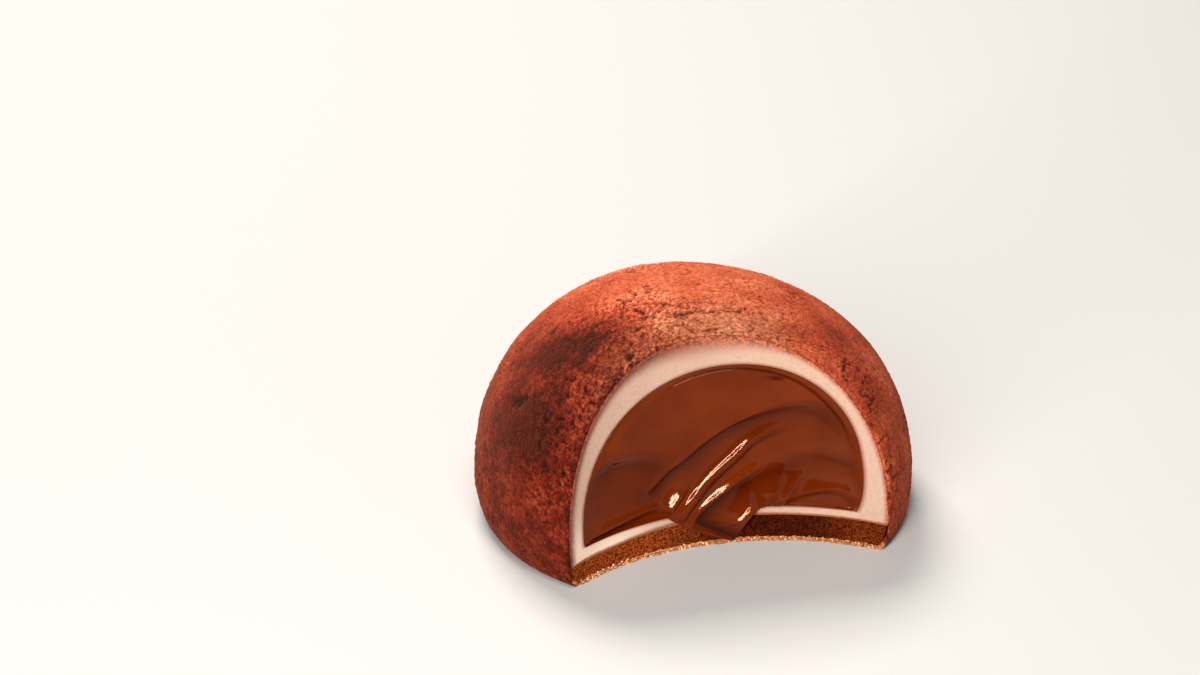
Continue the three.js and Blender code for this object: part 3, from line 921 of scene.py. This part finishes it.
edge_share = tree.nodes.new("ShaderNodeMapRange")
edge_share.interpolation_type = "SMOOTHSTEP"
edge_share.inputs["From Min"].default_value, edge_share.inputs["From Max"].default_value = DUST_EDGE
edge_grain = grainy(tree, powder, DUST_GRAIN, named_value(tree, "dust"))
tree.links.new(edge_grain, edge_share.inputs["Value"])
dust_shade = ramp(tree, powder, [
    (0.3, linear(80, 28, 16)),
    (0.48, linear(160, 78, 48)),
    (0.64, linear(200, 112, 76)),
])
# Painted shade: the cocoa dust on the ring is darker towards the left.
painted_dim_dust = times(tree, dust_shade, PAINTED_SHADE_DOUGH_TINT)
dust_shade = mixed(tree, named_value(tree, "left_painted_shade"), dust_shade, painted_dim_dust)
dough_shade = mixed(tree, edge_share.outputs["Result"], dough_shade, dust_shade)
dough_shade = mixed(tree, named_value(tree, "stain"), dough_shade, linear(128, 56, 26))
soil_grain = grainy(tree, powder, SOIL_GRAIN, named_value(tree, "soil"))
soil_mask = ramp(tree, soil_grain, [(0.75, grey(0.0)), (1.0, grey(1.0))])
dough_shade = mixed(tree, soil_mask, dough_shade, linear(150, 84, 44))
tree.links.new(dough_shade, shader.inputs["Base Color"])
bump(tree, shader, powder, strength=0.1, distance=0.0001)
rice_dough.data.materials.append(dough_material)
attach(rice_dough, "root")
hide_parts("rice_dough")


# Cocoa dusting
# The finished ball is rolled in cocoa powder, which cakes on the damp dough to a thin crust with
# clumps, pits and fine cracks. At the bite the crust is broken and its edge shows.

# The crust's mesh, and its broken edge at the bite
COAT_SPOKES = 600
COAT_RINGS = 140
COAT_INNER_RINGS = 8
COAT_EDGE_ROWS = 8
RING_CROWDING = 1.3
COAT_SHOULDER = 0.75
COAT_SHOULDER_FOOT = 0.2
COAT_SHOULDER_UP = (3.2, 5.4)
COAT_STEP = 0.12
COAT_LEAST = 0.04
COAT_FREE_UP = (0.0, 1.2)
COAT_EDGE_RELIEF = 0.6
COAT_CUT_DOWN = (-1.2, -0.5)
BITE_HALF = 20
# Where the crust is rough
ROUGH_NEAR = 0.9
ROUGH_NEAR_BACK = (1.0, 11.0)
ROUGH_PITCH = 5.5
ROUGH_LEVEL = (0.0, 0.8)
ROUGH_LEAST = 0.3
ROUGH_LEFT = (-3, 5)
# Heights of the relief, the pitches of its noise, and the levels of noise at which it shows
WARP_PITCH = 1.3
WARP_SEEDS = (31, 32, 33)
PEBBLE = 0.34
PEBBLE_PITCH = 0.42
PEBBLE_WARP = 0.12
PEBBLE_LEVEL = 0.5
PEBBLE_LEAST = 0.25
HASH_PARTS = 1021
CLUMP = 0.05
CLUMP_PITCH = 0.3
SWELL = 0.1
SWELL_PITCH = 3.4
PIT = 0.16
PIT_PITCH = 0.75
PIT_WARP = 0.3
PIT_FINER = 2.3
PIT_FINE_SHARE = 0.6
PIT_LEVEL = (0.5, 1.0)
PIT_LEAST = 0.35
CRACK = 0.2
CRACK_PITCH = 3.0
CRACK_WARP = 0.5
CRACK_FLATNESS = np.array([1.0, 1.0, 1.9])
CRACK_HALF = (0.0, 0.06)
CRACK_PATCH_PITCH = 3.6
CRACK_PATCH_LEVEL = (-0.1, 0.35)
# Long cracks, by points across and up the ball as seen from the front
LONG_CRACKS = [[(-1.7, 18.8), (0.6, 18.9), (2.9, 19.2), (4.8, 19.3)],
               [(7.3, 21.8), (9.0, 21.5), (11.0, 21.3)]]
LONG_CRACK = 0.16
LONG_CRACK_HALF = 0.11
LONG_CRACK_WARP = 0.25
LONG_CRACK_BACK = (4, 8)
LONG_CRACK_PITCH = 0.8
LONG_CRACK_LEVEL = (-0.6, 0.1)
DEEPEST = -0.26
HIGHEST = 0.2
RELIEF_SPAN = 0.45
# The front's direction
FRONT_SIDE = np.radians(-14.133)
FRONT_RISE = np.radians(28.54)
# How much painted shade darkens the powder, and where, as seen from the front
PAINTED_SHADE_LEFT = (0.97, 1, 15)
PAINTED_SHADE_LEFT_TOP_EASE = (0.6, 14, 21)
PAINTED_SHADE_RIGHT = (0.4, 12, 20)
PAINTED_RIM_SHADE = 0.35
PAINTED_RIM_SHADE_DEEP = 0.6
PAINTED_RIM_SHADE_LEFT = (-3, 5)
PAINTED_LOW_SHADE = 0.2
PAINTED_LOW_SHADE_TOP = 6
PAINTED_LOW_SHADE_DOWN = (0, 6)
PAINTED_LOW_SHADE_RIGHT = (-16, -6)
PAINTED_SHADE_BACK_EASE = (0.7, -3, 19)
TONE_DARKEST = 0.15
# Each spot of painted shade: its middle across and up the ball as seen from the front, its half width and
# height, and how much darker it is
PAINTED_SHADE_SPOTS = [(-16.5, 7.5, 3.4, 3.4, 0.5), (-13.0, 15.5, 3.6, 2.6, 0.42), (-6.0, 16.5, 6.0, 3.0, 0.48),
                (13.0, 18.0, 6.0, 5.0, 0.5)]
# Specks and patches of lighter and darker powder: how strong, of what pitch, and their seed
SPECKS = [(0.12, 1.5, 37), (0.18, 0.4, 38)]
PATCHES = [(0.25, 5.0, 35), (0.2, 2.2, 36)]
PATCH_LEFT_EASE = (0.5, 1, 15)
# The tan powder along the bite, and the coarse grain and the cracks
TAN_BACK = (1, 8)
TAN_LEFT = (-14, -7)
TAN_RIGHT = (7, 13)
TAN_SHADE = (0.77, 1.2, 1.34, 1.0)
COARSE_LEFT = (0.75, 5, 13)
CRACK_SHADE = (0.42, 0.34, 0.32, 1.0)


def coat_body(points):
    """Room inside the whole ball, crust and all."""
    return ball_inside(points, 0.0, 0.0)


def coat_lining(points):
    """Room inside the crust, where the dough and the base layer are."""
    return ball_inside(points, coat_thick(points), COAT_UNDER)


def behind_bite(points):
    """How far each point lies behind the bitten face, along the ball's depth."""
    x, y, z = np.moveaxis(points, -1, 0)
    return y - bite_y(np.clip(x, -BITE_HALF, BITE_HALF), z)


def pebbles(points, pitch, seed):
    """Rounded pebbles: one hashed point in each cell of a cubic lattice of this pitch, and at each
    place 1 less the distance to the nearest of them, in pitches."""
    at = points / pitch + LATTICE_SHIFT
    corner = np.floor(at).astype(np.int64)
    nearest = np.full(points.shape[:-1], np.inf)
    for step in np.ndindex(3, 3, 3):
        cell = corner + np.array(step) - 1
        number = hashed(cell, seed)
        inner = np.stack([number, number >> 7, number >> 14], -1) % HASH_PARTS / HASH_PARTS
        nearest = np.minimum(nearest, np.linalg.norm(cell + inner - at, axis=-1))
    return 1 - nearest


def seen_from_front(points):
    """Places across and up the ball as seen from the front: a turn about the upright, then a tilt."""
    x, y, z = np.moveaxis(points, -1, 0)
    across = np.cos(FRONT_SIDE) * x + np.sin(FRONT_SIDE) * y
    ahead = np.cos(FRONT_SIDE) * y - np.sin(FRONT_SIDE) * x
    return across, np.cos(FRONT_RISE) * z + np.sin(FRONT_RISE) * ahead


def crust_relief(points):
    """Height of the caked powder, with and without its slow swells, and its roughness: pebbles in
    rough patches, most of them near the bite, small clumps all over, pits, level cracks where a
    warped noise crosses zero, and the long cracks as bells across their lines."""
    near = 1 - smooth(behind_bite(points), *ROUGH_NEAR_BACK)
    rough = smooth(lattice(points, ROUGH_PITCH, 21) + ROUGH_NEAR * near, *ROUGH_LEVEL)
    rough *= blend(ROUGH_LEAST, 1, smooth(-seen_from_front(points)[0], *ROUGH_LEFT))
    warp = np.stack([lattice(points, WARP_PITCH, seed) for seed in WARP_SEEDS], -1)
    level = (points + CRACK_WARP * warp) * CRACK_FLATNESS
    crack = 1 - smooth(np.abs(lattice(level, CRACK_PITCH, 23)), *CRACK_HALF)
    crack *= smooth(lattice(points, CRACK_PATCH_PITCH, 24), *CRACK_PATCH_LEVEL)
    uneven = lattice(points + PIT_WARP * warp, PIT_PITCH, 25)
    uneven += PIT_FINE_SHARE * lattice(points, PIT_PITCH / PIT_FINER, 29)
    pit = smooth(uneven, *PIT_LEVEL) * blend(PIT_LEAST, 1, rough)
    pebble = pebbles(points + PEBBLE_WARP * warp, PEBBLE_PITCH, 28) - PEBBLE_LEVEL
    pebble *= blend(PEBBLE_LEAST, 1, rough)
    across, up = seen_from_front(points + LONG_CRACK_WARP * warp)
    split = sum(bell(beside_line(line, across, up)[0] / LONG_CRACK_HALF) for line in LONG_CRACKS)
    split *= 1 - smooth(points[..., 1], *LONG_CRACK_BACK)
    split *= smooth(lattice(points, LONG_CRACK_PITCH, 39), *LONG_CRACK_LEVEL)
    grain = CLUMP * lattice(points, CLUMP_PITCH, 26) + PEBBLE * pebble - PIT * pit - CRACK * crack
    grain -= LONG_CRACK * split
    return np.clip(SWELL * lattice(points, SWELL_PITCH, 22) + grain, DEEPEST, HIGHEST), grain, rough


def layered(points, layers):
    """Noise in layers, each of its own strength, pitch and seed, added up."""
    return sum(strength * lattice(points, pitch, seed) for strength, pitch, seed in layers)


def powder_tone_and_shade(points):
    """Lightness of the powder from 0 to 1, mostly painted shade: lightest over the top, and darker by
    smoothsteps towards both sides and less so towards the back, with bells of darker spots at the
    front and a darker rim at the bite's left, all as painted shade, and specks and patches of noise as the
    powder's own tone."""
    across, up = seen_from_front(points)
    painted_dark = rise(-across, *PAINTED_SHADE_LEFT)
    painted_dark *= 1 - rise(up, *PAINTED_SHADE_LEFT_TOP_EASE)
    painted_dark += rise(across, *PAINTED_SHADE_RIGHT)
    for middle_across, middle_up, wide, high, strength in PAINTED_SHADE_SPOTS:
        painted_dark += strength * bell((across - middle_across) / wide, (up - middle_up) / high)
    rim = np.exp(-np.maximum(behind_bite(points), 0) / PAINTED_RIM_SHADE_DEEP)
    painted_dark += PAINTED_RIM_SHADE * rim * smooth(-across, *PAINTED_RIM_SHADE_LEFT)
    painted_dark *= 1 + layered(points, SPECKS)
    painted_dark *= 1 - rise(points[..., 1], *PAINTED_SHADE_BACK_EASE)
    low = smooth(PAINTED_LOW_SHADE_TOP - points[..., 2], *PAINTED_LOW_SHADE_DOWN) * smooth(across, *PAINTED_LOW_SHADE_RIGHT)
    patches = layered(points, PATCHES) * (1 - rise(-across, *PATCH_LEFT_EASE))
    tone = 1 - painted_dark - PAINTED_LOW_SHADE * low + patches
    return np.clip(blend(TONE_DARKEST, 1, tone), 0, 1)


def shifted_walk(turn, back_by):
    """Walks on a copy of the bitten face that lies further back."""
    def walk(distance):
        return face_walk(turn)(distance) + back_by[:, None] * np.array([0.0, 1.0, 0.0])
    return walk


coat_turns = even_turns(coat_body, COAT_SPOKES)
coat_far = np.full(COAT_SPOKES, FACE_FAR)
coat_rise = smooth(face_edge(coat_body, coat_turns)[:, 2], *COAT_SHOULDER_UP)
coat_shoulder = blend(COAT_SHOULDER_FOOT, COAT_SHOULDER, coat_rise)
coat_edge_walk = shifted_walk(coat_turns, coat_shoulder)
coat_edge = coat_edge_walk(reach(coat_body, coat_edge_walk, coat_far))
coat_back, coat_pole = back_fan(coat_body, coat_edge, BALL_HEART, COAT_RINGS, RING_CROWDING)
coat_skin = np.concatenate([coat_back[::-1], coat_edge[None]])
coat_height, coat_grain, coat_rough = crust_relief(coat_skin)
coat_out_way = coat_skin - np.array([0.0, 0.0, WAIST])
coat_out_way /= np.linalg.norm(coat_out_way, axis=-1, keepdims=True)
coat_free = smooth(coat_skin[..., 2], *COAT_FREE_UP)
coat_lift = np.maximum(coat_height, COAT_LEAST - coat_thick(coat_skin)) * coat_free
coat_skin = coat_skin + coat_lift[..., None] * coat_out_way
coat_inner_edge = face_edge(coat_lining, coat_turns)
coat_inner_edge[:, 1] += LAYER_GAP + COAT_STEP * coat_rise
quarter = np.linspace(0, np.pi / 2, COAT_EDGE_ROWS + 2)[1:-1, None]
coat_rows = blend(coat_skin[-1], coat_inner_edge, (1 - np.cos(quarter))[..., None])
coat_rows[..., 1] = blend(coat_skin[-1, :, 1], coat_inner_edge[:, 1], np.sin(quarter))
coat_row_height, coat_row_grain, coat_row_rough = crust_relief(coat_rows)
coat_rows[..., 1] -= COAT_EDGE_RELIEF * coat_row_height * np.sin(2 * quarter)
coat_lining_back, coat_lining_pole = back_fan(coat_lining, coat_inner_edge, BALL_HEART, COAT_INNER_RINGS)
coat_rings = np.concatenate([coat_skin, coat_rows, coat_inner_edge[None], coat_lining_back])
coat_shown = COAT_RINGS + 1 + COAT_EDGE_ROWS
coat_value = np.full(coat_rings.shape[:2], 0.5)
coat_value[:coat_shown] = (np.concatenate([coat_grain, coat_row_grain]) - DEEPEST) / RELIEF_SPAN
coat_across = seen_from_front(coat_rings)[0]
coat_coarse = np.zeros(coat_rings.shape[:2])
coat_coarse[:coat_shown] = np.concatenate([coat_rough, coat_row_rough])
coat_coarse = np.maximum(coat_coarse, rise(-coat_across, *COARSE_LEFT))
coat_tan = 1 - smooth(behind_bite(coat_rings), *TAN_BACK)
coat_tan *= smooth(coat_across, *TAN_LEFT) * (1 - smooth(coat_across, *TAN_RIGHT))
coat_cut = np.zeros(coat_rings.shape[:2])
coat_cut[COAT_RINGS + 1:] = smooth(-coat_rings[COAT_RINGS + 1:, :, 2], *COAT_CUT_DOWN)
cocoa_dusting = ring_piece(
    "cocoa_dusting",
    coat_rings,
    coat_pole,
    coat_lining_pole,
    {
        "relief": np.clip(coat_value, 0, 1),
        "cut": coat_cut,
        "tone": powder_tone_and_shade(coat_rings),
        "near": coat_tan,
        "coarse": coat_coarse,
    },
)
cocoa_material, tree, shader = bare_material("caked cocoa powder", {
    "Roughness": 0.95,
    "Specular IOR Level": 0.15,
    "Specular Tint": (1.0, 0.66, 0.58, 1.0),
    "Sheen Weight": 0.12,
    "Sheen Roughness": 0.6,
    "Sheen Tint": linear(255, 146, 104),
})
powder = powder_mask(tree, grain_scale=5200.0, clump_scale=3600.0)
# The relief darkens the powder in pits, cracks and the gaps between pebbles as painted shade, and lightens
# the tops of clumps as painted light, over the powder's own colour.
cocoa_shade = ramp(tree, named_value(tree, "relief"), [
    (0.05, linear(40, 11, 6)),
    (0.3, linear(112, 42, 26)),
    (0.55, linear(176, 80, 50)),
    (0.9, linear(216, 124, 84)),
])
grain_shade = ramp(tree, powder, [
    (0.3, (0.3, 0.24, 0.22, 1.0)),
    (0.48, grey(0.92)),
    (0.64, (1.4, 1.46, 1.5, 1.0)),
])
fine_shade = ramp(tree, powder, [
    (0.3, (0.6, 0.54, 0.52, 1.0)),
    (0.48, grey(0.95)),
    (0.64, (1.16, 1.2, 1.22, 1.0)),
])
grain_shade = mixed(tree, named_value(tree, "coarse"), fine_shade, grain_shade)
cocoa_shade = times(tree, cocoa_shade, grain_shade)
patch = noise(tree, scale=95.0, detail=3.0)
patch_shade = ramp(tree, patch, [
    (0.35, (0.85, 0.7, 0.66, 1.0)),
    (0.65, grey(1.0)),
])
cocoa_shade = times(tree, cocoa_shade, patch_shade)
# Painted shade: the tone darkens and reddens the powder on its shaded sides, and where it is 1, over the
# top, the powder is lightest.
painted_tone_shade = ramp(tree, named_value(tree, "tone"), [
    (0.0, (0.1, 0.034, 0.024, 1.0)),
    (0.15, (0.25, 0.079, 0.052, 1.0)),
    (0.66, (0.87, 0.62, 0.56, 1.0)),
    (1.0, (1.3, 1.52, 1.6, 1.0)),
])
cocoa_shade = times(tree, cocoa_shade, painted_tone_shade)
tan_shade = times(tree, cocoa_shade, TAN_SHADE)
cocoa_shade = mixed(tree, named_value(tree, "near"), cocoa_shade, tan_shade)
hairline = noise(tree, scale=620.0, detail=2.0, stretch=(0.2, 1.0, 0.35))
hairline_shade = ramp(tree, hairline, [(0.46, grey(0.0)), (0.475, grey(1.0)), (0.49, grey(0.0))])
hairline_where = ramp(tree, patch, [(0.48, grey(0.0)), (0.56, grey(1.0))])
hairline_shade = times(tree, hairline_shade, hairline_where)
crack_shade = times(tree, cocoa_shade, CRACK_SHADE)
cocoa_shade = mixed(tree, hairline_shade, cocoa_shade, crack_shade)
gold_shade = ramp(tree, powder, [
    (0.35, linear(128, 66, 34)),
    (0.6, linear(206, 138, 88)),
])
cocoa_shade = mixed(tree, named_value(tree, "cut"), cocoa_shade, gold_shade)
tree.links.new(cocoa_shade, shader.inputs["Base Color"])
bump(tree, shader, powder, strength=0.7, distance=0.0002)
cocoa_dusting.data.materials.append(cocoa_material)
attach(cocoa_dusting, "root")
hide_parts("rice_dough")


# Crumbs along the foot
# Golden crumbs of cocoa butter and powder, which the bite has broken out of the crust under the base
# layer. They stick along the bite's lower edge as a thin bright line.

CRUMB_COUNT = 1100
CRUMB_SMALL = 0.04
CRUMB_LARGE = 0.14
CRUMB_LARGE_RARITY = 3
CRUMB_LINE_HALF = 15.4
CRUMB_LIFT = 0.8
CRUMB_BAND = 0.5
CRUMB_BAND_CROWDING = 1.6
CRUMB_PROUD = (-0.5, 0.4)
CRUMB_CORNERS = 12
CRUMB_CORNER_OUT = (0.65, 1.15)

crumb_random = np.random.default_rng(7)
golden = (1 + 5**0.5) / 2
crumb_shape = np.array([(-1, golden, 0), (1, golden, 0), (-1, -golden, 0), (1, -golden, 0), (0, -1, golden),
                        (0, 1, golden), (0, -1, -golden), (0, 1, -golden), (golden, 0, -1), (golden, 0, 1),
                        (-golden, 0, -1), (-golden, 0, 1)]) / np.hypot(1, golden)
crumb_faces = np.array([(0, 11, 5), (0, 5, 1), (0, 1, 7), (0, 7, 10), (0, 10, 11), (1, 5, 9), (5, 11, 4),
                        (11, 10, 2), (10, 7, 6), (7, 1, 8), (3, 9, 4), (3, 4, 2), (3, 2, 6), (3, 6, 8),
                        (3, 8, 9), (4, 9, 5), (2, 4, 11), (6, 2, 10), (8, 6, 7), (9, 8, 1)])
crumb_x = crumb_random.uniform(-CRUMB_LINE_HALF, CRUMB_LINE_HALF, CRUMB_COUNT)
crumb_share = crumb_random.random(CRUMB_COUNT) ** CRUMB_LARGE_RARITY
crumb_size = blend(CRUMB_SMALL, CRUMB_LARGE, crumb_share)
crumb_z = crumb_size * CRUMB_LIFT + CRUMB_BAND * crumb_random.random(CRUMB_COUNT) ** CRUMB_BAND_CROWDING
crumb_middle = on_face(crumb_x, crumb_z)
crumb_middle[:, 1] -= crumb_size * crumb_random.uniform(*CRUMB_PROUD, CRUMB_COUNT)
crumb_jitter = crumb_random.uniform(*CRUMB_CORNER_OUT, (CRUMB_COUNT, CRUMB_CORNERS, 1))
crumb_points = crumb_middle[:, None] + crumb_shape * crumb_jitter * crumb_size[:, None, None]
crumb_points[..., 2] = np.maximum(crumb_points[..., 2], 0.0)
crumb_mesh = bpy.data.meshes.new("foot_crumbs")
crumb_corners = (crumb_faces + CRUMB_CORNERS * np.arange(CRUMB_COUNT)[:, None, None]).reshape(-1, 3)
crumb_mesh.from_pydata((crumb_points.reshape(-1, 3) * MM).tolist(), [], crumb_corners.tolist())
crumb_tone = crumb_mesh.attributes.new("tone", "FLOAT", "POINT")
crumb_tones = np.repeat(crumb_random.random(CRUMB_COUNT), CRUMB_CORNERS)
crumb_tone.data.foreach_set("value", crumb_tones.astype(np.float32))
foot_crumbs = bpy.data.objects.new("foot_crumbs", crumb_mesh)
bpy.context.scene.collection.objects.link(foot_crumbs)
gold_material, tree, shader = bare_material("golden crumbs", {
    "Roughness": 0.45,
    "Specular IOR Level": 0.4,
})
gold_tone = ramp(tree, named_value(tree, "tone"), [
    (0.1, linear(150, 82, 40)),
    (0.6, linear(206, 134, 76)),
    (0.95, linear(250, 206, 150)),
])
tree.links.new(gold_tone, shader.inputs["Base Color"])
crumb_mesh.materials.append(gold_material)
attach(foot_crumbs, "root")


# Floor, lights and camera
# A plain pale sweep under soft lamps, and a camera at the photograph's height and side. The camera
# is aimed past the food, which stands right of the picture's middle and below it.

FLOOR_HALF = 1.2
WORLD_SHADE = (0.9, 0.92, 0.95, 1.0)
WORLD_STRENGTH = 0.05
PICTURE_WIDE = 1200
PICTURE_HIGH = 675
CAMERA_FAR = 0.45
CAMERA_FOCAL = 4336.86
SENSOR_WIDE = 36.0
FOOD_PIXEL = (694.188, 501.957)

floor_mesh = bpy.data.meshes.new("floor")
floor_corners = [(FLOOR_HALF * x, FLOOR_HALF * y, 0) for x, y in ((-1, -1), (1, -1), (1, 1), (-1, 1))]
floor_mesh.from_pydata(floor_corners, [], [(0, 1, 2, 3)])
floor = bpy.data.objects.new("floor", floor_mesh)
bpy.context.scene.collection.objects.link(floor)
floor_finish = {"Roughness": 0.7, "Base Color": (0.52, 0.51, 0.495, 1.0)}
floor_mesh.materials.append(bare_material("pale floor", floor_finish)[0])


def lamp(name, place, aim, wide, high, watts, colour, roll=0.0):
    """A soft rectangular lamp at a place, turned to face its aim and rolled about that line."""
    light = bpy.data.lights.new(name, "AREA")
    light.shape = "RECTANGLE"
    light.size, light.size_y = wide, high
    light.energy = watts
    light.color = colour
    item = bpy.data.objects.new(name, light)
    item.location = place
    item.rotation_mode = "QUATERNION"
    facing = (Vector(aim) - Vector(place)).to_track_quat("-Z", "Y")
    item.rotation_quaternion = facing @ Quaternion((0, 0, 1), roll)
    bpy.context.scene.collection.objects.link(item)


lamp("key lamp", (0.0, -0.18, 0.43), (0, 0, 0.01), 0.16, 0.16, 0.88, (1.0, 0.97, 0.93))
lamp("back lamp", (-0.04, 0.28, 0.36), (0, 0, 0.015), 0.2, 0.16, 2.5, (1.0, 0.95, 0.9))
lamp("fill lamp", (0.12, -0.5, 0.16), (0, 0, 0.01), 0.4, 0.4, 0.45, (1.0, 0.97, 0.94))
lamp("streak lamp", (-0.205, -0.308, 0.18), (0, -0.01, 0.008), 0.017, 0.36, 2.1, (1.0, 0.97, 0.95),
     np.radians(-38))
world = bpy.data.worlds.new("studio")
world.use_nodes = True
backdrop = world.node_tree.nodes["Background"]
backdrop.inputs["Color"].default_value = WORLD_SHADE
backdrop.inputs["Strength"].default_value = WORLD_STRENGTH
bpy.context.scene.world = world
bpy.context.scene.view_settings.view_transform = "Standard"

back = Vector((np.sin(FRONT_SIDE) * np.cos(FRONT_RISE), -np.cos(FRONT_SIDE) * np.cos(FRONT_RISE),
               np.sin(FRONT_RISE)))
right = Vector((np.cos(FRONT_SIDE), np.sin(FRONT_SIDE), 0))
above = back.cross(right)
aim = (PICTURE_WIDE / 2 - FOOD_PIXEL[0]) / CAMERA_FOCAL * right - back
aim -= (PICTURE_HIGH / 2 - FOOD_PIXEL[1]) / CAMERA_FOCAL * above
upright = Matrix((right, above, back)).transposed()
turned = (-back).rotation_difference(aim.normalized()).to_matrix() @ upright
camera_data = bpy.data.cameras.new("camera")
camera_data.sensor_width = SENSOR_WIDE
camera_data.lens = CAMERA_FOCAL * SENSOR_WIDE / PICTURE_WIDE
camera_data.clip_start = 0.01
camera_data.clip_end = 10.0
camera = bpy.data.objects.new("camera", camera_data)
camera.matrix_world = Matrix.Translation(back * CAMERA_FAR) @ turned.to_4x4()
bpy.context.scene.collection.objects.link(camera)
bpy.context.scene.camera = camera

bpy.context.view_layer.update()
